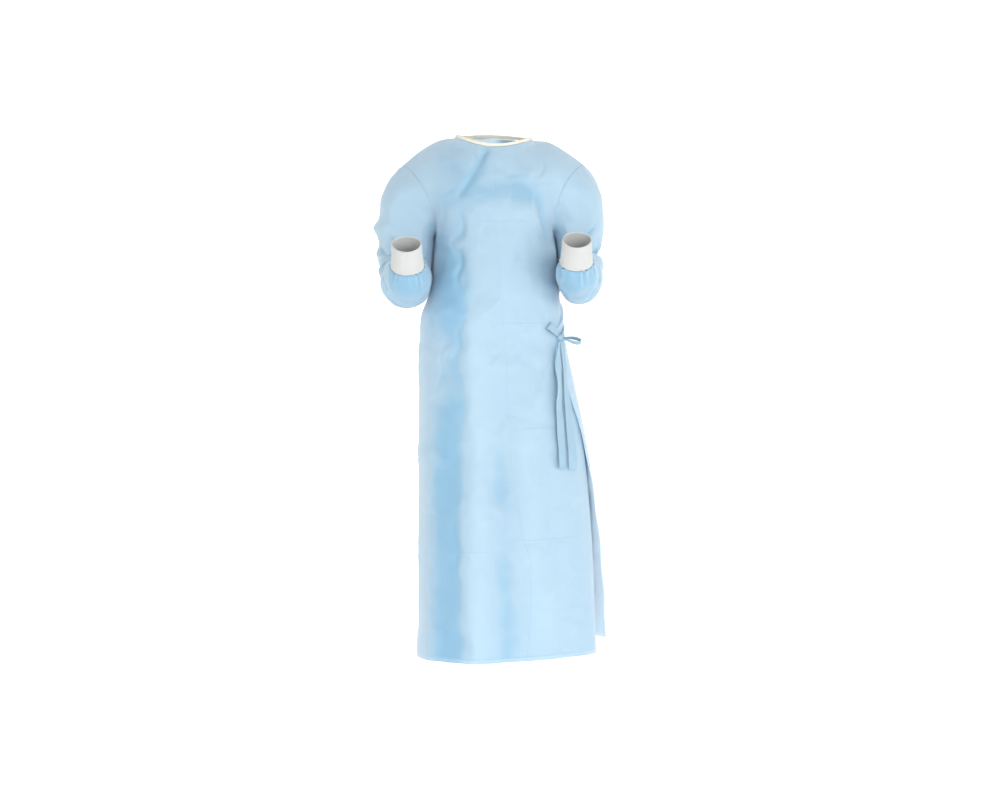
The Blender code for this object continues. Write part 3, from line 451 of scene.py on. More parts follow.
@dataclass
class Grid:
    """A wall of cloth between an outer and an inner grid of points, with its pattern and marks."""

    outer: Array
    inner: Array
    closed: bool = False
    marks: dict[str, Array] = field(default_factory=dict)

    def pattern(self) -> tuple[Array, Array]:
        """Distances along the rows from the middle column, and along the columns from the first row.

        Returns:
            Both as arrays over the grid's points, one column more than the grid if it is closed.
        """
        points = self.outer
        if self.closed:
            points = np.concatenate([points, points[:, :1]], axis=1)
        u = np.zeros(points.shape[:2])
        u[:, 1:] = np.cumsum(np.linalg.norm(np.diff(points, axis=1), axis=2), axis=1)
        u -= u[:, points.shape[1] // 2][:, None]
        v = np.zeros(points.shape[:2])
        v[1:] = np.cumsum(np.linalg.norm(np.diff(points, axis=0), axis=2), axis=0)
        return u, v

    def area(self) -> float:
        """Area of one layer, in square metres."""
        p = self.outer if not self.closed else np.concatenate([self.outer, self.outer[:, :1]], axis=1)
        first = np.cross(p[1:, 1:] - p[:-1, :-1], p[1:, :-1] - p[:-1, :-1])
        second = np.cross(p[:-1, 1:] - p[:-1, :-1], p[1:, 1:] - p[:-1, :-1])
        return float((np.linalg.norm(first, axis=2) + np.linalg.norm(second, axis=2)).sum() / 2)

    def quads(self) -> tuple[Array, Array]:
        """Corner indices of every face, and the grid places that they take their pattern from.

        Returns:
            The faces as rows of four point indices, and as rows of four row and column pairs.
        """
        rows, columns = self.outer.shape[:2]
        spans = columns if self.closed else columns - 1
        r, c = np.meshgrid(np.arange(rows - 1), np.arange(spans), indexing="ij")
        r, c = r.ravel(), c.ravel()
        square = np.stack([np.stack([r, c], 1), np.stack([r, c + 1], 1), np.stack([r + 1, c + 1], 1),
                           np.stack([r + 1, c], 1)], axis=1)
        rim_c = np.arange(spans)
        layers, places = [np.zeros((len(square), 4), int), np.ones((len(square), 4), int)], [square, square[:, ::-1]]
        for row, flip in ((0, 1), (rows - 1, -1)):
            edge = np.stack([np.full(spans, row), rim_c], 1)
            far = np.stack([np.full(spans, row), rim_c + 1], 1)
            places.append(np.stack([edge, edge, far, far], axis=1)[:, ::flip])
            layers.append(np.tile([0, 1, 1, 0][::flip], (spans, 1)))
        if not self.closed:
            rim_r = np.arange(rows - 1)
            for column, flip in ((0, -1), (columns - 1, 1)):
                edge = np.stack([rim_r, np.full(rows - 1, column)], 1)
                far = np.stack([rim_r + 1, np.full(rows - 1, column)], 1)
                places.append(np.stack([edge, edge, far, far], axis=1)[:, ::flip])
                layers.append(np.tile([0, 1, 1, 0][::flip], (rows - 1, 1)))
        place, layer = np.concatenate(places), np.concatenate(layers)
        faces = layer * rows * columns + place[..., 0] * columns + place[..., 1] % columns
        return faces, place

    def make(self, name: str, finish: bpy.types.Material) -> bpy.types.Object:
        """Makes the mesh object, with its flat pattern as a UV map and its marks as attributes.

        Args:
            name: The piece's name.
            finish: Its material.

        Returns:
            The new object, in the scene.
        """
        faces, place = self.quads()
        points = np.concatenate([self.outer.reshape(-1, 3), self.inner.reshape(-1, 3)])
        corners = points[faces[:, :3]]
        volume = np.einsum("ij,ij->i", corners[:, 0], np.cross(corners[:, 1], corners[:, 2])).sum()
        if volume < 0:
            faces, place = faces[:, ::-1], place[:, ::-1]
        mesh = bpy.data.meshes.new(name)
        mesh.from_pydata(points.tolist(), [], faces.tolist())
        u, v = self.pattern()
        flat = np.stack([u[place[..., 0], place[..., 1]], v[place[..., 0], place[..., 1]]], axis=-1)
        mesh.uv_layers.new(name="pattern").data.foreach_set("uv", flat.reshape(-1).astype(np.float32))
        for mark, values in self.marks.items():
            layer = mesh.attributes.new(mark, "FLOAT", "POINT")
            layer.data.foreach_set("value", np.tile(values.reshape(-1), 2).astype(np.float32))
        inside = np.repeat([0.0, 1.0], self.outer[..., 0].size)
        mesh.attributes.new("inside", "FLOAT", "POINT").data.foreach_set("value", inside.astype(np.float32))
        mesh.materials.append(finish)
        mesh.shade_smooth()
        piece = bpy.data.objects.new(name, mesh)
        bpy.context.scene.collection.objects.link(piece)
        return piece


def shell(outer: Array, normals: Array, wall: float, closed: bool = False) -> Grid:
    """A grid whose inner points lie one wall inside the outer ones."""
    return Grid(outer, outer - normals * wall, closed)


class NodeTree:
    """A Geometry Nodes tree that starts from a mesh and ends in Realize Instances and Set Material."""

    def __init__(self, name: str, inputs: dict[str, str]) -> None:
        """Makes the tree's inputs and output.

        Args:
            name: The tree's name.
            inputs: Socket types by input name, after the geometry and before the material.
        """
        self.group = bpy.data.node_groups.new(name, "GeometryNodeTree")
        sockets = {"Geometry": "NodeSocketGeometry", **inputs, "Material": "NodeSocketMaterial"}
        for label, kind in sockets.items():
            self.group.interface.new_socket(label, in_out="INPUT", socket_type=kind)
        self.group.interface.new_socket("Geometry", in_out="OUTPUT", socket_type="NodeSocketGeometry")
        self.start = self.group.nodes.new("NodeGroupInput")
        self.end = self.group.nodes.new("NodeGroupOutput")

    def entry(self, label: str) -> bpy.types.NodeSocket:
        """One of the tree's inputs."""
        return self.start.outputs[label]

    def add(self, kind: str, settings: dict[str, object], inputs: dict[str | int, object],
            output: str | int = 0) -> bpy.types.NodeSocket:
        """Adds a node.

        Args:
            kind: The node's type.
            settings: Its settings, made before its inputs.
            inputs: Sockets to link or values to set, by input name or place.
            output: The output that is returned.

        Returns:
            That output socket.
        """
        node = self.group.nodes.new(kind)
        for setting, value in settings.items():
            setattr(node, setting, value)
        for label, value in inputs.items():
            if isinstance(value, bpy.types.NodeSocket):
                self.group.links.new(value, node.inputs[label])
            else:
                node.inputs[label].default_value = value
        return node.outputs[output]

    def maths(self, operation: str, *values: object) -> bpy.types.NodeSocket:
        """A Math node on sockets or numbers."""
        return self.add("ShaderNodeMath", {"operation": operation}, dict(enumerate(values)))

    def finish(self, geometry: bpy.types.NodeSocket) -> None:
        """Closes the tree: real geometry with the finish that the Material input gives."""
        real = self.add("GeometryNodeRealizeInstances", {}, {"Geometry": geometry})
        inputs = {"Geometry": real, "Material": self.entry("Material")}
        dressed = self.add("GeometryNodeSetMaterial", {}, inputs)
        self.group.links.new(dressed, self.end.inputs[0])

    def apply(self, source: bpy.types.Object, name: str, values: dict[str, object]) -> bpy.types.Object:
        """Runs the tree on an object and keeps the result as a plain mesh.

        Args:
            source: The object it starts from, which is removed afterwards.
            name: The new piece's name.
            values: Values of the tree's inputs by name.

        Returns:
            The new piece, at the origin.
        """
        modifier = source.modifiers.new("grow", "NODES")
        modifier.node_group = self.group
        for item in self.group.interface.items_tree:
            if item.in_out == "INPUT" and item.name in values:
                modifier[item.identifier] = values[item.name]
        bpy.context.view_layer.update()
        evaluated = source.evaluated_get(bpy.context.evaluated_depsgraph_get())
        mesh = bpy.data.meshes.new_from_object(evaluated)
        mesh.name = name
        piece = bpy.data.objects.new(name, mesh)
        bpy.context.scene.collection.objects.link(piece)
        source.modifiers.remove(modifier)
        bpy.data.objects.remove(source)
        return piece


class Ribs:
    """Raises the ribs of a knit tube with a Geometry Nodes tree, and applies it."""

    def __init__(self, count: int, depth: float) -> None:
        """Builds the tree.

        Args:
            count: Ribs round the tube.
            depth: How far a rib stands out of the furrows beside it.
        """
        self.values = {"Count": float(count), "Depth": depth}
        self.tree = NodeTree("knit_ribs", {"Count": "NodeSocketFloat", "Depth": "NodeSocketFloat"})
        tree = self.tree
        turn = tree.add("GeometryNodeInputNamedAttribute", {"data_type": "FLOAT"}, {"Name": "turn"})
        angle = tree.maths("MULTIPLY", tree.maths("MULTIPLY", turn, tree.entry("Count")), 2 * math.pi)
        wave = tree.maths("MULTIPLY_ADD", tree.maths("COSINE", angle), 0.5, 0.5)
        raised = tree.maths("MULTIPLY", tree.maths("POWER", wave, 0.6), tree.entry("Depth"))
        normal = tree.add("GeometryNodeInputNormal", {}, {})
        offset = tree.add("ShaderNodeVectorMath", {"operation": "SCALE"}, {"Vector": normal, "Scale": raised})
        moved = tree.add("GeometryNodeSetPosition", {}, {"Geometry": tree.entry("Geometry"), "Offset": offset})
        tree.finish(moved)

    def knit(self, tube: bpy.types.Object, name: str, finish: bpy.types.Material) -> bpy.types.Object:
        """Returns a new piece, the tube with its ribs, and removes the plain tube."""
        return self.tree.apply(tube, name, {**self.values, "Material": finish})


class Stitching:
    """Rows of lockstitch: short threads laid end to end along lines on the cloth."""

    def __init__(self, thread: bpy.types.Material, length: float = 0.0026, gap: float = 0.0007,
                 thick: float = 0.00022) -> None:
        """Builds the tree that lays the threads.

        Args:
            thread: The thread's finish.
            length: Length of one stitch.
            gap: Gap to the next stitch.
            thick: Half the thickness of the thread.
        """
        self.thread = thread
        self.values = {"Length": length, "Gap": gap, "Thick": thick, "Material": thread}
        floats = {label: "NodeSocketFloat" for label in ("Length", "Gap", "Thick")}
        self.tree = NodeTree("stitches", floats)
        tree = self.tree
        line = tree.add("GeometryNodeMeshToCurve", {}, {"Mesh": tree.entry("Geometry")})
        pitch = tree.maths("ADD", tree.entry("Length"), tree.entry("Gap"))
        points = tree.group.nodes.new("GeometryNodeCurveToPoints")
        points.mode = "LENGTH"
        tree.group.links.new(line, points.inputs["Curve"])
        tree.group.links.new(pitch, points.inputs["Length"])
        thread_shape = tree.add("GeometryNodeMeshUVSphere", {}, {"Segments": 6, "Rings": 4, "Radius": 1.0})
        half = tree.maths("MULTIPLY", tree.entry("Length"), 0.5)
        thickness = tree.entry("Thick")
        size = tree.add("ShaderNodeCombineXYZ", {}, {"X": half, "Y": thickness, "Z": thickness})
        turned = tree.add("FunctionNodeAlignRotationToVector", {"axis": "X"}, {"Vector": points.outputs["Tangent"]})
        inputs = {"Points": points.outputs["Points"], "Instance": thread_shape, "Rotation": turned, "Scale": size}
        tree.finish(tree.add("GeometryNodeInstanceOnPoints", {}, inputs))

    def sew(self, name: str, lines: Sequence[Array]) -> bpy.types.Object:
        """Sews along lines.

        Args:
            name: The piece's name.
            lines: Points of each line.

        Returns:
            The row of stitches, as one piece.
        """
        points, edges = [], []
        for line in lines:
            first = len(points)
            points += np.asarray(line).tolist()
            edges += [(first + k, first + k + 1) for k in range(len(line) - 1)]
        mesh = bpy.data.meshes.new(name)
        mesh.from_pydata(points, edges, [])
        guide = bpy.data.objects.new(f"{name}_line", mesh)
        bpy.context.scene.collection.objects.link(guide)
        piece = self.tree.apply(guide, name, self.values)
        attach(piece, "root")
        LOG.info("%s: %d faces", name, len(piece.data.polygons))
        return piece


@dataclass(frozen=True)
class Cut:
    """How a sheet was cut: its node, material slot, flat size and area, and what it hangs from."""

    node: str
    slot: str
    flat: tuple[float, float]
    area: float
    held: str = "hung"
    hangs_from: tuple[str, ...] = ()


def declare(piece: bpy.types.Object, cut: Cut) -> bpy.types.Object:
    """Parents a piece to the root and hides the solid of the node that it stands for."""
    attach(piece, "root")
    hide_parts(cut.node)
    LOG.info("%s: %d faces", piece.name, len(piece.data.polygons))
    return piece


class Panels:
    """The three body panels: the front, the left back under layer and the outer wrap flap."""

    skirt_rows: int = 186
    yoke_rows: int = 56
    front_columns: int = 160
    flap_columns: int = 150
    under_columns: int = 84
    fold_free: float = 0.045
    soft_free: float = 0.060
    soft_from: float = 0.30
    soft_top: float = 0.16
    fold_end: float = 0.18
    hem_band: float = 0.009

    flap: Profile = Profile(
        ("z", "stand", "edge"),
        (
            (-1.165, 0.028, 0.530),
            (-0.930, 0.016, 0.503),
            (-0.706, 0.009, 0.470),
            (-0.560, 0.006, 0.440),
            (-0.470, 0.0045, 0.422),
            (-0.435, 0.0045, 0.435),
            (-0.395, 0.005, 0.500),
            (-0.350, 0.005, 0.575),
            (-0.300, 0.005, 0.625),
            (-0.228, 0.005, 0.660),
            (0.000, 0.000, 0.700),
        ),
    )
    under_edge_hem: float = 0.90
    under_edge_neck: float = 0.80
    under_sink: tuple[float, float] = (0.0055, 0.0040)
    under_ease: float = 0.16
    flap_joins: float = BACK_MIDDLE + 0.07
    flap_ease: float = 0.20
    flap_lift: float = 0.027
    flap_lift_from: float = BACK_MIDDLE + 0.05
    flap_lift_ease: float = 0.26
    flap_lift_level: float = -0.55

    front_folds: tuple[tuple[float, ...], ...] = (
        (-0.055, -0.370, -0.042, -0.740, 0.030, 0.006),
        (-0.042, -0.700, -0.046, -1.240, 0.032, 0.009),
        (-0.100, -0.620, -0.112, -1.240, 0.036, -0.008),
        (0.000, -0.640, 0.030, -1.240, 0.030, -0.008),
        (0.062, -0.560, 0.100, -1.240, 0.034, 0.007),
        (0.110, -0.700, 0.160, -1.240, 0.030, -0.006),
        (-0.010, -0.020, -0.082, -0.150, 0.010, -0.006),
        (-0.078, -0.160, -0.074, -0.380, 0.013, -0.004),
        (0.030, -0.140, 0.085, -0.150, 0.020, -0.004),
        (0.088, -0.125, 0.130, -0.260, 0.012, -0.007),
        (-0.116, -0.215, -0.136, -0.350, 0.012, -0.004),
    )
    back_folds: tuple[tuple[float, ...], ...] = (
        (-0.110, -0.420, -0.120, -1.240, 0.030, 0.010),
        (-0.050, -0.380, -0.062, -1.240, 0.030, -0.010),
        (0.010, -0.460, 0.012, -1.240, 0.032, 0.010),
        (0.075, -0.500, 0.090, -1.240, 0.030, -0.009),
        (0.130, -0.560, 0.165, -1.240, 0.026, 0.008),
        (0.020, -0.120, 0.100, -0.420, 0.022, -0.006),
        (-0.110, -0.130, -0.060, -0.330, 0.020, -0.006),
    )

    front_creases: tuple[Crease, ...] = (
        Crease(((-0.004, -0.034), (-0.038, -0.079), (-0.069, -0.134), (-0.084, -0.170)), 0.0075, -0.0036, 0.35),
        Crease(((-0.015, -0.040), (-0.047, -0.086), (-0.082, -0.140)), 0.0085, 0.0018, 0.0),
        Crease(((-0.067, -0.022), (-0.049, -0.047), (-0.038, -0.070)), 0.0055, -0.0022, 0.3),
        Crease(((-0.085, -0.020), (-0.083, -0.060), (-0.088, -0.105)), 0.0100, -0.0018, 0.0),
        Crease(((0.070, -0.028), (0.104, -0.070), (0.091, -0.108)), 0.0070, -0.0020, 0.3),
        Crease(((0.050, -0.024), (0.070, -0.060), (0.072, -0.100)), 0.0110, 0.0014, 0.0),
        Crease(((0.020, -0.128), (0.055, -0.122), (0.092, -0.134)), 0.0110, -0.0016, 0.0),
        Crease(((0.026, -0.112), (0.060, -0.106), (0.086, -0.110)), 0.0060, 0.0010, 0.0),
        Crease(((-0.080, -0.185), (-0.084, -0.265), (-0.078, -0.355)), 0.0080, -0.0030, 0.3),
        Crease(((-0.066, -0.200), (-0.070, -0.280), (-0.066, -0.370)), 0.0070, 0.0017, 0.0),
        Crease(((-0.020, -0.205), (-0.012, -0.290)), 0.0090, -0.0020, 0.0),
        Crease(((0.012, -0.230), (0.020, -0.330), (0.014, -0.420)), 0.0130, 0.0013, 0.0),
        Crease(((0.040, -0.190), (0.052, -0.270), (0.046, -0.350)), 0.0110, -0.0016, 0.2),
        Crease(((0.087, -0.150), (0.110, -0.212), (0.126, -0.262)), 0.0075, -0.0034, -0.3),
        Crease(((0.070, -0.150), (0.092, -0.215), (0.106, -0.285)), 0.0080, 0.0018, 0.0),
        Crease(((-0.104, -0.150), (-0.120, -0.205), (-0.130, -0.270)), 0.0085, -0.0030, 0.3),
        Crease(((-0.128, -0.455), (-0.124, -0.515), (-0.119, -0.575)), 0.0060, -0.0022, 0.3),
        Crease(((-0.146, -0.400), (-0.130, -0.450), (-0.110, -0.480)), 0.0080, -0.0020, 0.0),
        Crease(((-0.078, -0.435), (-0.083, -0.480), (-0.089, -0.522)), 0.0060, -0.0018, 0.0),
        Crease(((-0.060, -0.395), (-0.056, -0.594), (-0.043, -0.730)), 0.0120, 0.0026, 0.25),
        Crease(((-0.078, -0.400), (-0.074, -0.560), (-0.066, -0.700)), 0.0100, -0.0024, 0.0),
        Crease(((-0.078, -0.790), (-0.067, -0.944), (-0.056, -1.076), (-0.040, -1.220)), 0.0130, 0.0028, 0.2, 0.2, 0.01),
        Crease(((-0.094, -0.800), (-0.086, -0.960), (-0.080, -1.220)), 0.0120, -0.0026, 0.0, 0.25, 0.01),
        Crease(((-0.030, -0.745), (-0.012, -0.815), (0.010, -0.900), (0.076, -1.035)), 0.0075, 0.0020, 0.3),
        Crease(((-0.140, -0.660), (-0.136, -0.860), (-0.142, -1.200)), 0.0110, 0.0026, 0.0, 0.25, 0.01),
        Crease(((-0.124, -0.900), (-0.118, -1.040), (-0.122, -1.210)), 0.0085, -0.0022, 0.0, 0.3, 0.01),
        Crease(((0.128, -0.500), (0.096, -0.560), (0.052, -0.600)), 0.0085, -0.0018, 0.3),
        Crease(((0.126, -0.480), (0.086, -0.500), (0.040, -0.500)), 0.0090, 0.0013, 0.0),
        Crease(((0.130, -0.450), (0.104, -0.410), (0.082, -0.350)), 0.0080, -0.0017, 0.3),
        Crease(((0.112, -0.640), (0.128, -0.820), (0.150, -1.000)), 0.0120, 0.0020, 0.0),
        Crease(((0.160, -0.760), (0.178, -0.940), (0.186, -1.200)), 0.0120, -0.0026, 0.2, 0.25, 0.01),
        Crease(((0.020, -0.960), (0.028, -1.080), (0.024, -1.210)), 0.0120, -0.0020, 0.0, 0.3, 0.01),
        Crease(((0.120, -1.020), (0.126, -1.100), (0.140, -1.215)), 0.0095, 0.0020, 0.2, 0.3, 0.01),
    )
    # Painted shade and light on the front: bands above 0 darken the cloth where it turns away from the light, and
    # bands below 0 lighten it where light falls on it.
    painted_front_shading: tuple[Crease, ...] = (
        Crease(((-0.104, -0.560), (-0.104, -0.760), (-0.099, -0.900), (-0.097, -1.200)), 0.034, 1.0, 0.0, 0.15, 0.01),
        Crease(((-0.086, -0.300), (-0.088, -0.450), (-0.082, -0.600), (-0.094, -0.720)), 0.028, 0.8),
        Crease(((-0.112, -0.180), (-0.100, -0.320), (-0.112, -0.470)), 0.034, 0.8),
        Crease(((-0.100, -0.150), (-0.030, -0.142), (0.040, -0.142), (0.112, -0.156)), 0.026, 0.45, 0.0, 0.3, 0.3),
        Crease(((0.050, -0.060), (0.074, -0.110), (0.092, -0.180)), 0.042, 0.32, 0.0, 0.4, 0.4),
        Crease(((-0.078, -0.020), (-0.092, -0.100), (-0.104, -0.220)), 0.044, 0.50, 0.0, 0.4, 0.4),
        Crease(((-0.004, -0.040), (-0.034, -0.085), (-0.062, -0.135)), 0.020, 0.5),
        Crease(((-0.161, -0.400), (-0.161, -0.700), (-0.163, -1.200)), 0.009, -1.0, 0.0, 0.08, 0.01),
        Crease(((0.118, -0.180), (0.122, -0.420), (0.124, -0.620), (0.146, -1.200)), 0.042, -0.55, 0.0, 0.1, 0.01),
        Crease(((-0.030, -0.240), (-0.030, -0.620), (-0.034, -1.200)), 0.030, -0.4, 0.0, 0.2, 0.01),
    )
    back_creases: tuple[Crease, ...] = (
        Crease(((-0.122, -0.190), (-0.130, -0.285), (-0.136, -0.370)), 0.017, 0.0140, 0.0, 0.18, 0.18),
        Crease(((0.119, -0.190), (0.127, -0.285), (0.133, -0.365)), 0.017, 0.0210, 0.0, 0.18, 0.18),
        Crease(((0.010, -0.060), (0.052, -0.140), (0.088, -0.230)), 0.0090, -0.0030, 0.3),
        Crease(((-0.100, -0.100), (-0.080, -0.200), (-0.084, -0.300)), 0.0085, -0.0028, 0.3),
        Crease(((-0.060, -0.060), (-0.048, -0.150), (-0.060, -0.240)), 0.0100, 0.0018, 0.0),
        Crease(((-0.010, -0.140), (-0.020, -0.260), (-0.008, -0.380)), 0.0100, -0.0022, 0.0),
        Crease(((-0.110, -0.330), (-0.060, -0.372), (0.010, -0.382)), 0.0090, -0.0024, 0.3),
        Crease(((0.110, -0.360), (0.060, -0.392), (0.000, -0.400)), 0.0090, -0.0020, 0.3),
        Crease(((0.120, -0.430), (0.060, -0.450), (-0.010, -0.440)), 0.0080, 0.0018, 0.3),
        Crease(((0.128, -0.470), (0.080, -0.530), (0.048, -0.640)), 0.0090, -0.0024, 0.3),
        Crease(((-0.080, -0.440), (-0.084, -0.660), (-0.092, -0.840)), 0.0090, 0.0028, 0.3),
        Crease(((-0.020, -0.480), (-0.026, -0.700), (-0.036, -0.900)), 0.0100, -0.0028, 0.0),
        Crease(((0.040, -0.560), (0.046, -0.760), (0.040, -0.960)), 0.0090, 0.0026, 0.3),
        Crease(((0.100, -0.640), (0.112, -0.860), (0.128, -1.210)), 0.0110, -0.0030, 0.0, 0.25, 0.01),
        Crease(((-0.136, -0.700), (-0.140, -0.900), (-0.146, -1.210)), 0.0100, -0.0030, 0.2, 0.25, 0.01),
        Crease(((-0.086, -0.880), (-0.092, -1.040), (-0.090, -1.215)), 0.0080, 0.0030, 0.3, 0.25, 0.01),
        Crease(((0.012, -0.940), (0.002, -1.080), (0.006, -1.215)), 0.0090, 0.0026, 0.0, 0.25, 0.01),
        Crease(((0.160, -0.820), (0.180, -1.000), (0.200, -1.215)), 0.0120, 0.0024, 0.0, 0.25, 0.01),
    )
    packing_down: Crease = Crease(
        ((-0.002, -0.050), (-0.001, -0.222), (0.017, -0.441), (0.025, -0.550), (0.030, -0.725), (0.060, -0.900),
         (0.076, -0.945), (0.074, -1.076), (0.066, -1.165)), 0.002, 1.0)
    packing_down_back: Crease = Crease(((-0.004, -0.030), (-0.010, -0.400), (-0.006, -0.800), (0.004, -1.160)), 0.002, 1.0)
    packing_across: tuple[tuple[float, float, float], ...] = (
        (-0.4276, 0.054, 0.062),
        (-0.6575, 0.092, 0.070),
        (-0.9006, 0.118, 0.085),
        (-0.9269, -0.050, 0.040),
        (-0.2050, 0.020, 0.060),
    )

    def __init__(self, form: BodyForm) -> None:
        """Works out the three panels on the shared surface."""
        self.form = form
        self.front = self.front_grid()
        self.flap_grid = self.outer_back_grid()
        self.under = self.under_back_grid()

    def levels(self) -> Array:
        """The levels of the rows, from the hem up, closest together at the hem's edge."""
        skirt = np.linspace(-1, 0, self.skirt_rows + 1)
        yoke = np.linspace(0, 1, self.yoke_rows + 1)[1:]
        yoke[-1] -= SEAM / 2 / -self.form.armpit_z
        return np.concatenate([skirt, yoke])

    def main_folds(self, folds: Sequence[tuple[float, ...]], points: Array) -> Array:
        """The large folds that the solids have too.

        Args:
            folds: Rows of x and z at the top, x and z at the foot, width and depth.
            points: Points of the surface.

        Returns:
            How far each point moves out.
        """
        depth = np.zeros(len(points))
        for x_top, z_top, x_low, z_low, width, deep in folds:
            start = np.array([x_top, z_top])
            way = np.array([x_low, z_low]) - start
            length = np.linalg.norm(way)
            offset = points[:, [0, 2]] - start
            share = offset @ way / length**2
            away = np.abs(offset[:, 0] * way[1] - offset[:, 1] * way[0]) / length
            fade = ease(share / self.fold_end) * ease((1 - share) / self.fold_end)
            depth += deep * fade * np.exp(-((away / width) ** 2))
        return depth

    def seam_fade(self, around: Array, reach: float) -> Array:
        """0 at the side seams and 1 further than reach from them."""
        nearest = np.minimum(np.abs(around - LEFT_SEAM), np.minimum(around, 1 - around))
        return ease(nearest / reach)

    def small_folds(self, creases: Sequence[Crease], base: Array, around: Array, level: float, seed: int) -> Array:
        """Creases, soft unevenness and the puckers along the seams, for one row of points.

        Args:
            creases: The panel's creases.
            base: The row's points.
            around: Their places round the body.
            level: The row's level.
            seed: Seed of the unevenness.

        Returns:
            How far each point moves out.
        """
        flat = wander(base[:, [0, 2]])
        moved = sum(crease.at(flat) for crease in creases)
        moved = moved + Rumple(0.130, 0.0013, seed).at(flat) + Rumple(0.052, 0.0006, seed + 1).at(flat)
        moved = moved + Rumple(0.020, 0.00016, seed + 2).at(flat)
        top = ease((1 - level) / 0.10) if level > 0.8 else 1.0
        return moved * self.seam_fade(around, 0.030) * top

    def mark(self, grid: Grid, moves: Array, seams: Sequence[str]) -> Grid:
        """Adds the marks that the cloth's finish reads: the way to the hem, seams, packing creases and painted shade
        and light.

        Args:
            grid: The panel.
            moves: How far its folds move each point out.
            seams: Which of "first", "last" and "top" edges are sewn.

        Returns:
            The same grid.
        """
        points = grid.outer
        rows, columns = points.shape[:2]
        down = np.zeros((rows, columns))
        down[1:] = np.cumsum(np.linalg.norm(np.diff(points, axis=0), axis=2), axis=0)
        across = np.zeros((rows, columns))
        across[:, 1:] = np.cumsum(np.linalg.norm(np.diff(points, axis=1), axis=2), axis=1)
        apart = [np.full((rows, columns), 0.08)]
        if "first" in seams:
            apart.append(across)
        if "last" in seams:
            apart.append(across[:, -1:] - across)
        if "top" in seams:
            apart.append(down[-1:] - down)
        grid.marks["hem_way"] = np.minimum(down, 0.08)
        grid.marks["seam_way"] = np.minimum.reduce(apart)
        grid.marks["free_way"] = np.minimum(across[:, -1:] - across, 0.08) if "last" not in seams else np.full((rows, columns), 0.08)
        flat = points[..., [0, 2]]
        line = self.packing_down if "first" in seams and "last" in seams else self.packing_down_back
        signed, share = line.measure(flat)
        grid.marks["pack_down"] = np.clip(signed, -0.02, 0.02)
        grid.marks["pack_down_on"] = ease(share / 0.10) * (0.55 + 0.45 * np.sin(14 * share + 1.0) ** 2)
        best, on = np.full((rows, columns), 0.02), np.zeros((rows, columns))
        for z, x, half in self.packing_across:
            apart_z = flat[..., 1] - z - 0.03 * (flat[..., 0] - x)
            nearer = np.abs(apart_z) < np.abs(best)
            best = np.where(nearer, apart_z, best)
            on = np.where(nearer, ease((half - np.abs(flat[..., 0] - x)) / (half * 0.5)), on)
        grid.marks["pack_across"] = best
        grid.marks["pack_across_on"] = on
        # Painted shade and light: darker in the folds' troughs and the shade bands, paler on the folds' crests and the
        # pale bands.
        shades = sum(band.at(wander(flat, 0.003)) for band in self.painted_front_shading) if "last" in seams else 0.0
        grid.marks["painted_shade_and_light"] = np.tanh(shades - moves / 0.016)
        return grid

    def front_grid(self) -> Grid:
        """The front panel, side seam to side seam."""
        around = np.linspace(RIGHT_SEAM + SEAM / 2, LEFT_SEAM - SEAM / 2, self.front_columns + 1)
        places = [(around, level) for level in self.levels()]
        outer, normals, moves = [], [], []
        for level, base, normal in self.rows(places, RIGHT_SEAM, LEFT_SEAM):
            move = self.main_folds(self.front_folds, base) * self.seam_fade(around, self.fold_free)
            move += self.small_folds(self.front_creases, base, around, level, 11)
            outer.append(base + normal * move[:, None])
            normals.append(normal)
            moves.append(move)
        grid = shell(np.array(outer), np.array(normals), CLOTH_WALL)
        return self.mark(grid, np.array(moves), ("first", "last", "top"))

    def rows(self, places: Sequence[tuple[Array, float]], low_end: float,
             high_end: float) -> list[tuple[float, Array, Array]]:
        """Rows of a panel on the body's surface, with the yoke's breaks rounded off.

        Args:
            places: Places round the body, and the level, of each row.
            low_end: The panel's first place round the body.
            high_end: Its last place.

        Returns:
            Each row's level, points and outward directions.
        """
        levels = [level for _, level in places]
        points = np.array([self.form.points(around, level) for around, level in places])
        normals = np.array([self.form.normals(around, level, low_end, high_end) for around, level in places])
        strength = np.array([self.seam_fade(around, self.soft_free) * float(ease(level / self.soft_from))
                             * float(ease((1 - level) / self.soft_top)) for around, level in places])
        points = soften(points, strength)
        normals = unit(soften(normals, strength))
        return list(zip(levels, points, normals))

    def outer_back_grid(self) -> Grid:
        """The right back, the flap that wraps round to the tie."""
        outer, normals, moves, places = [], [], [], []
        for level in self.levels():
            edge = float(self.flap.read("edge", self.form.height(level)))
            places.append((np.linspace(1 - SEAM / 2, edge, self.flap_columns + 1), level))
        for (around, _), (level, base, normal) in zip(places, self.rows(places, LEFT_SEAM, 1.0)):
            z, edge = self.form.height(level), around[-1]
            behind = around > LEFT_SEAM
            fade = self.seam_fade(around, self.fold_free)
            fold = self.main_folds(self.back_folds, base) * fade * behind
            small = self.small_folds(self.back_creases, base, around, level, 31)
            fold += small * ease((around - LEFT_SEAM) / 0.06)
            moves.append(fold)
            move = fold + float(self.flap.read("stand", z)) * ease((self.flap_joins - around) / self.flap_ease)
            curl = 0.0012 * ease((edge + 0.02 - around) / 0.02) * (1 + np.sin(z * 46.0)) * ease(-level * 4)
            move += curl
            low = ease((self.flap_lift_level - level) / (1 + self.flap_lift_level))
            base[:, 2] += self.flap_lift * low * ease((self.flap_lift_from - around) / self.flap_lift_ease)
            outer.append(base + normal * move[:, None])
            normals.append(normal)
        grid = shell(np.array(outer), np.array(normals), CLOTH_WALL)
        return self.mark(grid, np.array(moves), ("first", "top"))

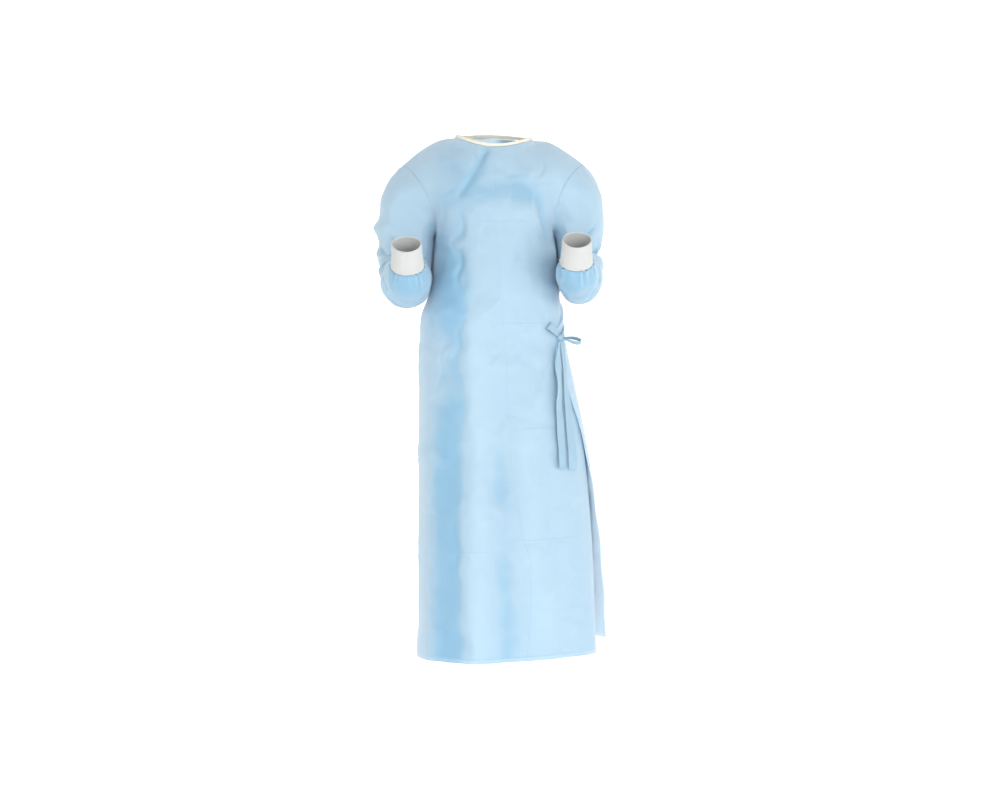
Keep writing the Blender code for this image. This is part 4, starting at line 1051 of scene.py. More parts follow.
    def under_back_grid(self) -> Grid:
        """The left back, the layer under the flap."""
        outer, normals, moves, places = [], [], [], []
        for level in self.levels():
            edge = self.under_edge_neck + (self.under_edge_hem - self.under_edge_neck) * float(ease(-level))
            places.append((np.linspace(LEFT_SEAM + SEAM / 2, edge, self.under_columns + 1), level))
        for (around, _), (level, base, normal) in zip(places, self.rows(places, LEFT_SEAM, 1.0)):
            sink = self.under_sink[0] + (self.under_sink[1] - self.under_sink[0]) * max(level, 0.0)
            move = self.main_folds(self.back_folds, base) * self.seam_fade(around, self.fold_free)
            move += self.small_folds(self.back_creases, base, around, level, 31) * 0.8
            moves.append(move.copy())
            move -= sink * ease((around - LEFT_SEAM - self.under_ease / 16) / self.under_ease)
            outer.append(base + normal * move[:, None])
            normals.append(normal)
        grid = shell(np.array(outer), np.array(normals), CLOTH_WALL)
        return self.mark(grid, np.array(moves), ("first", "top"))

    def hem_line(self, grid: Grid) -> Array:
        """A line on the outside, along the top of the hem's double layer."""
        way = grid.marks["hem_way"]
        row = int(np.argmax(way[:, 0] > self.hem_band - 0.0008))
        return grid.outer[row] + unit(grid.outer[row] - grid.inner[row]) * 0.00012

    def dress(self, finish: bpy.types.Material, stitching: "Stitching") -> None:
        plans = (
            (self.front, Cut("front", "nonwoven_blue", (0.60, 1.20), 0.567)),
            (self.flap_grid, Cut("back_right", "nonwoven_blue", (0.63, 1.20), 0.545)),
            (self.under, Cut("back_left", "nonwoven_blue", (0.45, 1.20), 0.383)),
        )
        for grid, cut in plans:
            piece = grid.make(f"{cut.node}_cloth", finish)
            sewn = stitching.sew(f"{cut.node}_hem_stitches", [self.hem_line(grid)])
            declare(piece, cut)
            u, v = grid.pattern()
            LOG.info("%s is %.3f wide, %.3f long, %.4f m2", cut.node, np.ptp(u, axis=1).max(), v.max(), grid.area())


@dataclass(frozen=True)
class SleeveFold:
    """A soft fold of a sleeve, along its length and round it.

    along is 0 at the first full ring and 1 at the cuff; turn is 0 beside the body, a quarter at the
    elbow, a half outside and three quarters in the crook.
    """

    along: float
    turn: float
    length: float
    spread: float
    depth: float

    def at(self, along: float, turn: Array) -> Array:
        """How far the fold moves the points of one ring."""
        apart = np.abs((turn - self.turn + 0.5) % 1 - 0.5)
        near = math.exp(-(((along - self.along) / self.length) ** 2))
        return self.depth * near * np.exp(-((apart / self.spread) ** 2))


@dataclass
class Sleeve:
    """A set-in sleeve that hangs, bends at the elbow and reaches forward, and its knit cuff."""

    side: Side
    form: BodyForm
    arm: Profile
    folds: tuple[SleeveFold, ...]
    creases: tuple[Crease, ...]
    lift: float
    elbow: tuple[float, float, float] = (-0.050, -0.270, 0.060)
    forearm: float = 0.128
    wrist: tuple[float, float] = (0.062, 49.0)
    upper_share: float = 0.19
    upper_ring: tuple[float, float] = (-0.240, -0.160)
    head_rings: int = 34
    stations: tuple[int, int, int, int] = (14, 34, 32, 18)
    crook_room: float = 0.0095
    side_full: float = 2.3
    under_arm_above: float = 0.020
    body_clearance: float = 0.0060
    flap_under: tuple[float, float, float] = (0.030, -0.300, 0.040)
    gathers: int = 17
    gather_depth: float = 0.0026
    gather_reach: float = 0.044
    head: Profile = Profile(
        ("around", "lead", "arrive"),
        (
            (0.00, 0.0060, 0.014),
            (0.12, 0.0110, 0.020),
            (0.25, 0.0200, 0.030),
            (0.50, 0.0260, 0.044),
            (0.75, 0.0200, 0.030),
            (0.88, 0.0110, 0.020),
            (1.00, 0.0060, 0.014),
        ),
    )
    cuff_length: float = 0.059
    cuff_top_share: float = 0.87
    cuff_inset: float = 0.0012
    ring_points: int = 0

    def armhole(self, panels: Panels) -> tuple[Array, Array]:
        """The armhole from the armpit over the back, tip and front, as outer and inner points."""
        back = panels.flap_grid if self.side is Side.RIGHT else panels.under
        column = 0 if self.side is Side.RIGHT else -1
        start = panels.skirt_rows
        rings = []
        for ahead, behind in zip((panels.front.outer, panels.front.inner), (back.outer, back.inner)):
            edge, far = ahead[start:, column], behind[start:, 0]
            armpit, tip = (edge[0] + far[0]) / 2, (edge[-1] + far[-1]) / 2
            rings.append(np.array([armpit, *far[1:-1], tip, *edge[-2:0:-1]]))
        return rings[0], rings[1]

    def centres(self) -> list[tuple[float, float, float, float]]:
        """Stations down the arm: share of its length, y, z and heading, 0 being straight down."""
        elbow_y, elbow_z, radius = self.elbow
        wrist_radius, turn = self.wrist[0], math.radians(self.wrist[1])
        upper_z = sum(self.upper_ring) / 2
        lengths = (upper_z - elbow_z, radius * math.pi / 2, self.forearm, wrist_radius * turn)
        total, low = sum(lengths), elbow_z - radius
        made = []
        for k in range(self.stations[0]):
            t = k / self.stations[0]
            made.append((t * lengths[0] / total, elbow_y + radius, upper_z + t * (elbow_z - upper_z), 0.0))
        for k in range(self.stations[1]):
            bend = math.pi / 2 * k / self.stations[1]
            done = (lengths[0] + lengths[1] * k / self.stations[1]) / total
            made.append((done, elbow_y + radius * math.cos(bend), elbow_z - radius * math.sin(bend), bend))
        for k in range(self.stations[2]):
            t = k / self.stations[2]
            done = (lengths[0] + lengths[1] + lengths[2] * t) / total
            made.append((done, elbow_y - self.forearm * t, low, math.pi / 2))
        for k in range(self.stations[3] + 1):
            bend = turn * k / self.stations[3]
            y = elbow_y - self.forearm - wrist_radius * math.sin(bend)
            z = low + wrist_radius * (1 - math.cos(bend))
            done = (sum(lengths[:3]) + lengths[3] * k / self.stations[3]) / total
            made.append((done, y, z, math.pi / 2 + bend))
        return made

    def length(self) -> float:
        """Length of the arm's middle line from the first full ring to the cuff."""
        upper = sum(self.upper_ring) / 2 - self.elbow[1]
        return upper + self.elbow[2] * math.pi / 2 + self.forearm + self.wrist[0] * math.radians(self.wrist[1])

    def body_reach(self, y: Array, z: Array) -> Array:
        """How far the body reaches to this side at a depth and height, below the shoulder."""
        sections = self.form.sections
        z = np.clip(z, self.form.hem_z, self.form.armpit_z)
        edge = sections.read("left" if self.side is Side.LEFT else "right", z)
        front, back = sections.read("front", z), sections.read("back", z)
        ridge = np.where(y < 0, sections.read("ridge", z), self.form.back_ridge)
        deep = np.clip(np.abs(y / np.where(y < 0, front, back)), 0, 1)
        full = self.side_full
        return self.side.value * (ridge + (edge - ridge) * (1 - deep**full) ** (1 / full))

    def ring(self, station: tuple[float, float, float, float], points: int, flap: Profile) -> Array:
        """One ring of outer points.

        Args:
            station: Share of the arm's length, y, z and heading.
            points: How many points it has.
            flap: The wrap flap's table, which the left arm keeps clear of.

        Returns:
            The ring's points.
        """
        along, y, z, heading = station
        turn = np.arange(points) / points
        angle = 2 * math.pi * turn
        centre, across, deep = (float(self.arm.read(name, along)) for name in ("x", "across", "deep"))
        swell = sum(fold.at(along, turn) for fold in self.folds)
        swell = swell + self.small_folds(along, turn)
        away = np.maximum((deep + swell) * np.sin(angle), self.crook_room - self.elbow[2])
        x = centre - (across + swell) * np.cos(angle)
        ring_y = y + away * math.cos(heading)
        ring_z = z - away * math.sin(heading)
        down_arm = min(along / self.upper_share, 1.0)
        tilt = (self.upper_ring[1] - self.upper_ring[0]) / 2 * (1 - down_arm)
        ring_z = ring_z - np.cos(angle) * tilt + self.lift * down_arm
        reach = self.body_reach(ring_y, ring_z) + self.body_clearance
        if self.side is Side.LEFT:
            below = ease((self.flap_under[1] - ring_z) / self.flap_under[2])
            reach = reach + flap.read("stand", ring_z) * below * ease(ring_y / self.flap_under[0])
        near_body = ring_z < self.form.armpit_z + self.under_arm_above
        x = np.where(near_body, np.maximum(x, reach), x)
        return np.stack([self.side.value * x, ring_y, ring_z], axis=-1)

    def small_folds(self, along: float, turn: Array) -> Array:
        """Creases, unevenness and the gathers above the cuff, for one ring."""
        length = self.length()
        girth = 2 * math.pi * (0.048 if along > 0.7 else 0.055)
        flat = np.stack([turn * girth, np.full_like(turn, along * length)], axis=-1)
        moved = np.zeros_like(turn)
        for shift in (-girth, 0.0, girth):
            placed = flat + np.array([shift, 0.0])
            moved += sum(crease.at(placed) for crease in self.creases)
        seed = 50 + self.side.value
        wrap = np.stack([np.cos(turn * 2 * math.pi), np.sin(turn * 2 * math.pi)], axis=-1) * 0.055
        moved += Rumple(0.050, 0.0007, seed).at(wrap + along * length * np.array([0.8, 0.6]))
        moved += Rumple(0.020, 0.0002, seed + 7).at(wrap + along * length * np.array([0.6, -0.8]))
        to_cuff = (1 - along) * length
        beat = 2 * math.pi * turn
        reach = self.gather_reach * (0.75 + 0.35 * np.sin(3 * beat + seed) + 0.22 * np.sin(7 * beat + 2 * seed))
        rise = ease((reach - to_cuff) / reach)
        bend = 1.1 * np.sin(3 * beat + seed) + 0.7 * np.sin(5 * beat + 1.7 * seed) + 18.0 * to_cuff * np.sin(4 * beat)
        uneven = 0.62 + 0.38 * np.sin(5 * beat + 0.7 * seed + 22.0 * to_cuff)
        pleats = np.cos(self.gathers * beat + bend) * self.gather_depth * rise * uneven
        pleats = pleats + 0.4 * np.cos(2.3 * self.gathers * beat - bend) * self.gather_depth * rise**2 * (1 - uneven)
        return moved * ease(along / 0.06) * ease((1 - along) / 0.05) + pleats

    def rings(self, panels: Panels) -> Grid:
        """The whole sleeve, from the armhole to the cuff."""
        hole, hole_inner = self.armhole(panels)
        points = self.ring_points = len(hole)
        tube = np.array([self.ring(station, points, panels.flap) for station in self.centres()])
        turn = np.arange(points) / points
        edge_way = np.roll(hole, -1, axis=0) - np.roll(hole, 1, axis=0)
        way = unit(self.side.value * np.cross(hole - hole_inner, edge_way))
        lead, arrive = (self.head.read(name, turn)[:, None] for name in ("lead", "arrive"))
        start, end = hole + way * SEAM, tube[0]
        before_end = end + arrive * np.array([0.0, 0.0, 1.0])
        shares = (np.arange(self.head_rings) / self.head_rings) ** 1.2
        head = np.array([bezier(start, start + way * lead, before_end, end, share) for share in shares])
        outer = np.concatenate([head, tube])
        round_it = np.roll(outer, -1, axis=1) - np.roll(outer, 1, axis=1)
        normal = unit(self.side.value * np.cross(round_it, np.gradient(outer, axis=0)))
        blend = np.minimum(np.linspace(0, 1, self.head_rings) * 6, 1.0)
        wrinkle = Rumple(0.045, 0.0010, 70 + self.side.value).at(head[..., 1:] + head[..., :1] * 0.5)
        bell = ease(np.linspace(0, 1, self.head_rings) * 4)[:, None] * ease((1 - np.linspace(0, 1, self.head_rings)) * 3)[:, None]
        outer[: self.head_rings] += normal[: self.head_rings] * (wrinkle * bell)[..., None]
        inner = outer - normal * CLOTH_WALL
        panel_way = unit(hole_inner - hole)
        for k in range(self.head_rings):
            mixed = unit(panel_way * (1 - blend[k]) - normal[k] * blend[k])
            inner[k] = outer[k] + mixed * CLOTH_WALL
        grid = Grid(outer, inner, closed=True)
        return self.mark(grid)

    def mark(self, grid: Grid) -> Grid:
        """Adds the marks that the cloth's finish reads, painted shade and light among them."""
        points = grid.outer
        down = np.zeros(points.shape[:2])
        down[1:] = np.cumsum(np.linalg.norm(np.diff(points, axis=0), axis=2), axis=0)
        far = np.full(points.shape[:2], 0.02)
        grid.marks = {
            "hem_way": far * 4,
            "seam_way": np.minimum(np.minimum(down, down[-1:] - down), 0.08),
            "free_way": far * 4,
            "pack_down": far,
            "pack_down_on": far * 0,
            "pack_across": far,
            "pack_across_on": far * 0,
            # Painted shade and light: darker in the troughs and towards the cuff, paler on the crests.
            "painted_shade_and_light": np.clip(self.low_shade(len(points)) - self.moves(len(points)) / 0.004, -1.0, 1.0),
        }
        return grid

    def low_shade(self, rings: int) -> Array:
        """Painted shade towards the cuff, where the sleeve turns away from the light."""
        along = np.array([station[0] for station in self.centres()])
        shares = np.concatenate([np.zeros(rings - len(along)), ease((along - 0.30) / 0.35)])
        return 1.05 * shares[:, None] * np.ones(self.ring_points)

    def moves(self, rings: int) -> Array:
        """How far the small folds move each point out, with none above the first full ring."""
        turn = np.arange(self.ring_points) / self.ring_points
        folds = [sum(fold.at(station[0], turn) for fold in self.folds) + self.small_folds(station[0], turn)
                 for station in self.centres()]
        return np.concatenate([np.zeros((rings - len(folds), self.ring_points)), np.array(folds)])

    def cuff_frame(self, grid: Grid) -> tuple[Array, Array, Array, Array]:
        """Middle of the cuff's base, and its directions along, aside and through."""
        heading = math.radians(90 + self.wrist[1])
        axis = np.array([0.0, -math.sin(heading), -math.cos(heading)])
        aside = np.array([self.side.value * 1.0, 0.0, 0.0])
        through = np.array([0.0, math.cos(heading), -math.sin(heading)])
        return grid.outer[-1].mean(axis=0), axis, aside, through

    def seam_line(self, grid: Grid) -> Array:
        """A line on the outside, just above the seam to the cuff."""
        row = grid.outer[-3] + unit(grid.outer[-3] - grid.inner[-3]) * 0.00012
        return np.concatenate([row, row[:1]])

    def cuff_grid(self, grid: Grid, points: int = 416, rows: int = 26) -> Grid:
        """The knit cuff, drawn in a little above its seam and turned in at its mouth.

        Args:
            grid: The sleeve.
            points: Points round the cuff.
            rows: Rows along it.

        Returns:
            A closed tube with a turn mark for the ribs.
        """
        middle, axis, aside, through = self.cuff_frame(grid)
        turn = np.arange(points) / points
        angle = 2 * math.pi * turn
        across, deep = (float(self.arm.read(name, 1.0)) for name in ("across", "deep"))
        outer, inner = [], []
        for t in np.linspace(0, 1, rows + 1):
            waist = 0.0011 * math.sin(math.pi * min(t * 1.2, 1.0))
            size = 1 - (1 - self.cuff_top_share) * t
            sway = 0.0007 * np.sin(3 * angle + 2.0 + 1.5 * t) * t
            place = middle + axis * (SEAM + self.cuff_length * t)
            for target, inset in ((outer, self.cuff_inset), (inner, self.cuff_inset + 0.0016)):
                flat_across = across * size - inset - waist + sway
                flat_deep = deep * size - inset - waist + sway
                ring = -np.cos(angle)[:, None] * flat_across[:, None] * aside
                ring = ring + (np.sin(angle) * flat_deep)[:, None] * through
                target.append(place + ring)
        made = Grid(np.array(outer), np.array(inner), closed=True)
        rows_way = np.linspace(0, self.cuff_length, rows + 1)[:, None] * np.ones(points)
        made.marks = {
            "turn": np.tile(turn, (rows + 1, 1)),
            "cuff_way": rows_way,
        }
        return made


class Sleeves:
    """Both sleeves with their cuffs."""

    right_arm: Profile = Profile(
        ("along", "x", "across", "deep"),
        (
            (0.00, 0.2000, 0.0605, 0.062),
            (0.19, 0.2000, 0.0605, 0.060),
            (0.33, 0.1990, 0.0600, 0.059),
            (0.46, 0.1980, 0.0580, 0.060),
            (0.64, 0.1950, 0.0525, 0.059),
            (0.84, 0.1900, 0.0470, 0.048),
            (1.00, 0.1880, 0.0375, 0.034),
        ),
    )
    left_arm: Profile = Profile(
        ("along", "x", "across", "deep"),
        (
            (0.00, 0.1885, 0.0535, 0.060),
            (0.19, 0.1885, 0.0515, 0.058),
            (0.33, 0.1890, 0.0505, 0.059),
            (0.46, 0.1885, 0.0500, 0.060),
            (0.64, 0.1840, 0.0490, 0.058),
            (0.84, 0.1770, 0.0460, 0.047),
            (1.00, 0.1735, 0.0370, 0.034),
        ),
    )
    right_folds: tuple[SleeveFold, ...] = (
        SleeveFold(0.085, 0.50, 0.026, 0.15, 0.014),
        SleeveFold(0.180, 0.50, 0.060, 0.13, 0.008),
        SleeveFold(0.60, 0.40, 0.120, 0.05, -0.004),
        SleeveFold(0.75, 0.15, 0.100, 0.05, -0.004),
    )
    left_folds: tuple[SleeveFold, ...] = (
        SleeveFold(0.235, 0.50, 0.034, 0.13, -0.013),
        SleeveFold(0.100, 0.56, 0.050, 0.12, 0.003),
        SleeveFold(0.62, 0.38, 0.120, 0.05, -0.005),
        SleeveFold(0.72, 0.12, 0.100, 0.05, -0.004),
    )
    right_creases: tuple[Crease, ...] = (
        Crease(((0.215, 0.030), (0.262, 0.062), (0.300, 0.075)), 0.0070, -0.0042, 0.3),
        Crease(((0.150, 0.045), (0.200, 0.062), (0.262, 0.095)), 0.0060, -0.0030, 0.3),
        Crease(((0.140, 0.105), (0.200, 0.112), (0.270, 0.100)), 0.0070, 0.0026, 0.2),
        Crease(((0.110, 0.135), (0.190, 0.142), (0.290, 0.128)), 0.0080, -0.0030, 0.3),
        Crease(((0.060, 0.170), (0.120, 0.215), (0.150, 0.290)), 0.0075, -0.0030, 0.3),
        Crease(((0.200, 0.175), (0.176, 0.240), (0.180, 0.320)), 0.0080, 0.0026, 0.2),
        Crease(((0.260, 0.165), (0.240, 0.230), (0.232, 0.300)), 0.0070, -0.0026, 0.2),
        Crease(((0.020, 0.180), (0.050, 0.240), (0.040, 0.310)), 0.0070, 0.0022, 0.2),
        Crease(((0.166, 0.046), (0.190, 0.054), (0.218, 0.070)), 0.0055, -0.0060, 0.3),
        Crease(((0.172, 0.062), (0.196, 0.068), (0.214, 0.080)), 0.0060, 0.0040, 0.0),
        Crease(((0.166, 0.120), (0.200, 0.112), (0.226, 0.112)), 0.0055, -0.0052, 0.3),
    )
    left_creases: tuple[Crease, ...] = (
        Crease(((0.210, 0.020), (0.258, 0.048), (0.300, 0.058)), 0.0070, -0.0040, 0.3),
        Crease(((0.120, 0.050), (0.190, 0.072), (0.255, 0.088)), 0.0065, -0.0032, 0.3),
        Crease(((0.150, 0.112), (0.210, 0.104), (0.285, 0.112)), 0.0070, 0.0026, 0.2),
        Crease(((0.120, 0.145), (0.190, 0.134), (0.280, 0.142)), 0.0080, -0.0030, 0.3),
        Crease(((0.080, 0.160), (0.132, 0.225), (0.170, 0.300)), 0.0075, -0.0032, 0.3),
        Crease(((0.220, 0.180), (0.190, 0.250), (0.202, 0.320)), 0.0080, 0.0026, 0.2),
        Crease(((0.285, 0.170), (0.262, 0.236), (0.250, 0.310)), 0.0070, -0.0026, 0.2),
        Crease(((0.030, 0.200), (0.060, 0.250), (0.056, 0.315)), 0.0070, 0.0022, 0.2),
        Crease(((0.170, 0.088), (0.198, 0.076), (0.224, 0.062)), 0.0055, -0.0062, 0.3),
        Crease(((0.172, 0.104), (0.200, 0.093), (0.220, 0.080)), 0.0060, 0.0042, 0.0),
        Crease(((0.180, 0.066), (0.204, 0.056), (0.222, 0.044)), 0.0055, -0.0036, 0.0),
    )

    def __init__(self, form: BodyForm, panels: Panels) -> None:
        """Sets up both sleeves."""
        self.panels = panels
        self.both = {
            "right": Sleeve(Side.RIGHT, form, self.right_arm, self.right_folds, self.right_creases, 0.0),
            "left": Sleeve(Side.LEFT, form, self.left_arm, self.left_folds, self.left_creases, 0.009),
        }

    def dress(self, cloth: bpy.types.Material, knit: bpy.types.Material, stitching: "Stitching") -> None:
        for name, sleeve in self.both.items():
            grid = sleeve.rings(self.panels)
            piece = grid.make(f"sleeve_{name}_cloth", cloth)
            sewn = stitching.sew(f"cuff_{name}_seam_stitches", [sleeve.seam_line(grid)])
            declare(piece, Cut(f"sleeve_{name}", "nonwoven_blue", (0.42, 0.54), 0.14))
            u, v = grid.pattern()
            LOG.info("sleeve %s is %.3f wide, %.3f long, %.4f m2", name, np.ptp(u, axis=1).max(), v.max(), grid.area())
            cuff = sleeve.cuff_grid(grid)
            plain = cuff.make(f"cuff_{name}_plain", knit)
            ribbed = Ribs(RIB_COUNT, 0.00042).knit(plain, f"cuff_{name}_knit", knit)
            declare(ribbed, Cut(f"cuff_{name}", "knit_white", (0.235, 0.062), 0.0124, "stretched"))


class NeckBinding:
    """The cream strip that is folded over the neck edge, its ends overlapping at the back."""

    height: float = 0.0070
    wall: float = 0.0024
    end: float = 0.045
    lap: float = 0.0034
    lean: float = 0.25
    steps: int = 560
    rows: int = 14
    stitch_up: float = 0.28

    def __init__(self, form: BodyForm) -> None:
        """Works out the strip's grid and its line of stitches."""
        half = (form.left_shoulder.rows[-1][1] - form.right_shoulder.rows[-1][1]) / 2
        past = math.asin(self.end / half)
        turn = np.linspace(1.5 * math.pi + past, -0.5 * math.pi - past, self.steps + 1)
        edge = form.neckline(turn)
        out = unit(np.cross([0.0, 0.0, 1.0], form.neckline(turn - STEP) - form.neckline(turn + STEP)))
        lean = unit(np.array([0.0, 0.0, 1.0]) - out * self.lean)
        overlap_end = turn[0] - 2 * past
        lap = -self.lap * (1 - ease((overlap_end - turn) / (overlap_end - math.pi)))[:, None]
        low = edge + out * lap + lean * SEAM
        ripple = 0.00016 * np.sin(turn * 61 + 2 * np.sin(turn * 7)) + 0.00022 * np.sin(turn * 23 + 1.0)
        outer, inner = [], []
        for up in np.linspace(0, 1, self.rows + 1):
            round_over = math.sqrt(max(1 - max((up - 0.72) / 0.28, 0.0) ** 2, 0.04))
            sewn = 0.00035 * math.exp(-(((up - self.stitch_up) / 0.10) ** 2))
            middle = low + lean * self.height * up - out * self.wall / 2
            half_wall = self.wall / 2 * round_over
            soft = (ripple * up)[:, None] * out
            outer.append(middle + out * (half_wall - sewn) + soft)
            inner.append(middle - out * (half_wall - sewn) + soft)
        self.grid = Grid(np.array(outer), np.array(inner))
        row = int(round(self.stitch_up * self.rows))
        self.stitch_line = self.grid.outer[row] + out * 0.00014

    def dress(self, finish: bpy.types.Material, stitching: Stitching) -> bpy.types.Object:
        """Makes the binding with its stitches."""
        piece = self.grid.make("neck_binding_strip", finish)
        sewn = stitching.sew("neck_stitches", [self.stitch_line])
        cut = Cut("neck_binding", "binding_cream", (0.60, 0.010), 0.0058, "stretched")
        return declare(piece, cut)


@dataclass(frozen=True)
class Strip:
    """A strip of the tie that hangs over the front: off is its distance from the panel's surface."""

    node: str
    route: Profile
    length: float
    waves: float

    def grid(self, form: BodyForm, wall: float, rows: int, columns: int) -> Grid:
        """The strip's wall, gathered towards the knot and lightly curled across.

        Args:
            form: The body's surface.
            wall: Thickness of the strip.
            rows: Rows along it.
            columns: Columns across it.

        Returns:
            Its grid.
        """
        keys = [row[0] for row in self.route.rows]
        heights = np.linspace(keys[-1], keys[0], rows + 1)
        x, off, width, facing = (self.route.read(name, heights) for name in ("x", "off", "width", "facing"))
        middle = np.array([form.over_front(*place) for place in zip(x, heights, off)])
        turn = np.radians(facing)
        across = np.stack([np.cos(turn), np.sin(turn), 0 * turn], axis=-1)
        out = unit(np.cross(across, np.gradient(middle, axis=0)))
        place = np.linspace(-1, 1, columns + 1)
        way = np.linspace(0, 1, rows + 1)[:, None]
        narrow = ease((0.0185 - width) / 0.010)[:, None]
        pleats = 0.0006 * narrow * np.cos(place * 9.0 + 2.0 * way * self.waves)
        curl = 0.0009 * place**2 * np.sin(way * self.waves * 3 + 0.6) + 0.0005 * np.sin(way * self.waves * 9)
        fold = -0.00030 * np.exp(-(((np.abs(place) - 0.80) / 0.05) ** 2))
        lifted = (pleats + curl + fold)[..., None]
        centre = middle[:, None] + across[:, None] * (place[:, None] * width[:, None, None] / 2)
        outer = centre + out[:, None] * (lifted + wall / 2)
        inner = centre + out[:, None] * (lifted - wall / 2)
        grid = Grid(outer, inner)
        grid.marks = {"edge_way": (1 - np.abs(place)) * np.ones_like(way) * width[:, None] / 2}
        return grid


@dataclass(frozen=True)
class Loop:
    """A loop of the bow: rise above the horizontal, heading from +X and the way its runs spread."""

    node: str
    rise: float
    heading: float
    length: float
    spread: tuple[float, float, float]
    seed: float


class Tie:
    """The bow at the left side: two straps, a knot, two loops and two tails."""

    wall: float = 0.0009
    knot_place: tuple[float, float, float] = (0.1430, -0.4550, 0.01155)
    knot_size: tuple[float, float, float] = (0.0075, 0.0060, 0.0080)
    loop_root: float = 0.0077
    loop_rows: tuple[tuple[float, float, float], ...] = (
        (0.0000, 0.0016, 0.006),
        (0.0100, 0.0030, 0.013),
        (0.0220, 0.0048, 0.019),
        (0.0320, 0.0046, 0.020),
        (0.0370, 0.0026, 0.020),
    )
    loops: tuple[Loop, ...] = (
        Loop("tie_loop_front", 40, 216, 0.85, (0.55, -0.83, 0.10), 0.4),
        Loop("tie_loop_side", -12, -8, 1.05, (0.00, 0.34, 0.94), 2.1),
    )
    route_columns: tuple[str, ...] = ("z", "x", "off", "width", "facing")
    strips: tuple[Strip, ...] = (
        Strip("tie_tail_front", Profile(route_columns, (
            (-0.7440, 0.1480, 0.0115, 0.020, 52),
            (-0.7050, 0.1465, 0.0110, 0.020, 46),
            (-0.6600, 0.1440, 0.0110, 0.020, 40),
            (-0.6080, 0.1400, 0.0130, 0.020, 52),
            (-0.5520, 0.1415, 0.0135, 0.020, 62),
            (-0.5100, 0.1385, 0.0130, 0.019, 46),
            (-0.4850, 0.1405, 0.0130, 0.014, 60),
            (-0.4630, 0.1425, 0.0130, 0.007, 60),
        )), 0.285, 3.1),
        Strip("tie_tail_side", Profile(route_columns, (
            (-0.7480, 0.1720, 0.0140, 0.019, 20),
            (-0.7020, 0.1690, 0.0135, 0.019, 26),
            (-0.6600, 0.1650, 0.0130, 0.019, 30),
            (-0.6100, 0.1600, 0.0125, 0.019, 44),
            (-0.5400, 0.1555, 0.0120, 0.018, 62),
            (-0.4900, 0.1515, 0.0120, 0.013, 50),
            (-0.4628, 0.1475, 0.0125, 0.007, 30),
        )), 0.290, 2.3),
        Strip("tie_strap_back", Profile(route_columns, (
            (-0.4527, 0.1475, 0.0105, 0.008, 66),
            (-0.4340, 0.1535, 0.0066, 0.014, 80),
            (-0.4250, 0.1555, 0.0055, 0.016, 84),
        )), 0.030, 1.1),
        Strip("tie_strap_flap", Profile(route_columns, (
            (-0.4820, 0.1525, 0.0064, 0.015, 68),
            (-0.4710, 0.1505, 0.0077, 0.011, 66),
            (-0.4585, 0.1480, 0.0102, 0.007, 64),
        )), 0.026, 0.7),
    )

    def __init__(self, form: BodyForm) -> None:
        """Keeps the body's surface, which the tie is placed from."""
        self.form = form
        self.centre = form.over_front(*self.knot_place)

    def knot(self, finish: bpy.types.Material, rings: int = 40, points: int = 64) -> bpy.types.Object:
        """The knot: a lump with one turn of the strip drawn tight across it.

        Args:
            finish: Its material.
            rings: Rings from pole to pole.
            points: Points in a ring.

        Returns:
            The knot.
        """
        tilt = np.linspace(0.0, math.pi, rings + 1)[:, None]
        turn = (np.arange(points) * 2 * math.pi / points)[None, :]
        ways = np.stack([np.sin(tilt) * np.cos(turn), np.sin(tilt) * np.sin(turn), np.cos(tilt) + 0 * turn], -1)
        band_way = unit(np.array([0.30, 0.20, 0.93]))
        apart = ways @ band_way
        band = 0.10 * ease((0.52 - np.abs(apart)) / 0.16) - 0.10
        pleat = 0.022 * np.cos(apart * 26) * ease((0.48 - np.abs(apart)) / 0.2)
        ends = 0.05 * np.cos(7 * turn + 3 * np.cos(tilt)) * ease((np.abs(apart) - 0.42) / 0.2)
        size = 1.0 + band + pleat + ends
        places = self.centre + ways * size[..., None] * np.array(self.knot_size)
        flat = places.reshape(-1, 3)
        faces = []
        for ring in range(rings):
            first = ring * points
            for k in range(points):
                after = (k + 1) % points
                faces.append((first + k, first + points + k, first + points + after, first + after))
        mesh = bpy.data.meshes.new("tie_knot_wrap")
        mesh.from_pydata(flat.tolist(), [], faces)
        work = bmesh.new()
        work.from_mesh(mesh)
        bmesh.ops.remove_doubles(work, verts=work.verts, dist=1e-7)
        work.to_mesh(mesh)
        work.free()
        layer = mesh.attributes.new("edge_way", "FLOAT", "POINT")
        layer.data.foreach_set("value", [0.005] * len(mesh.vertices))
        mesh.materials.append(finish)
        mesh.shade_smooth()
        piece = bpy.data.objects.new("tie_knot_wrap", mesh)
        bpy.context.scene.collection.objects.link(piece)
        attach(piece, "root")
        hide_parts("tie_knot")
        return piece

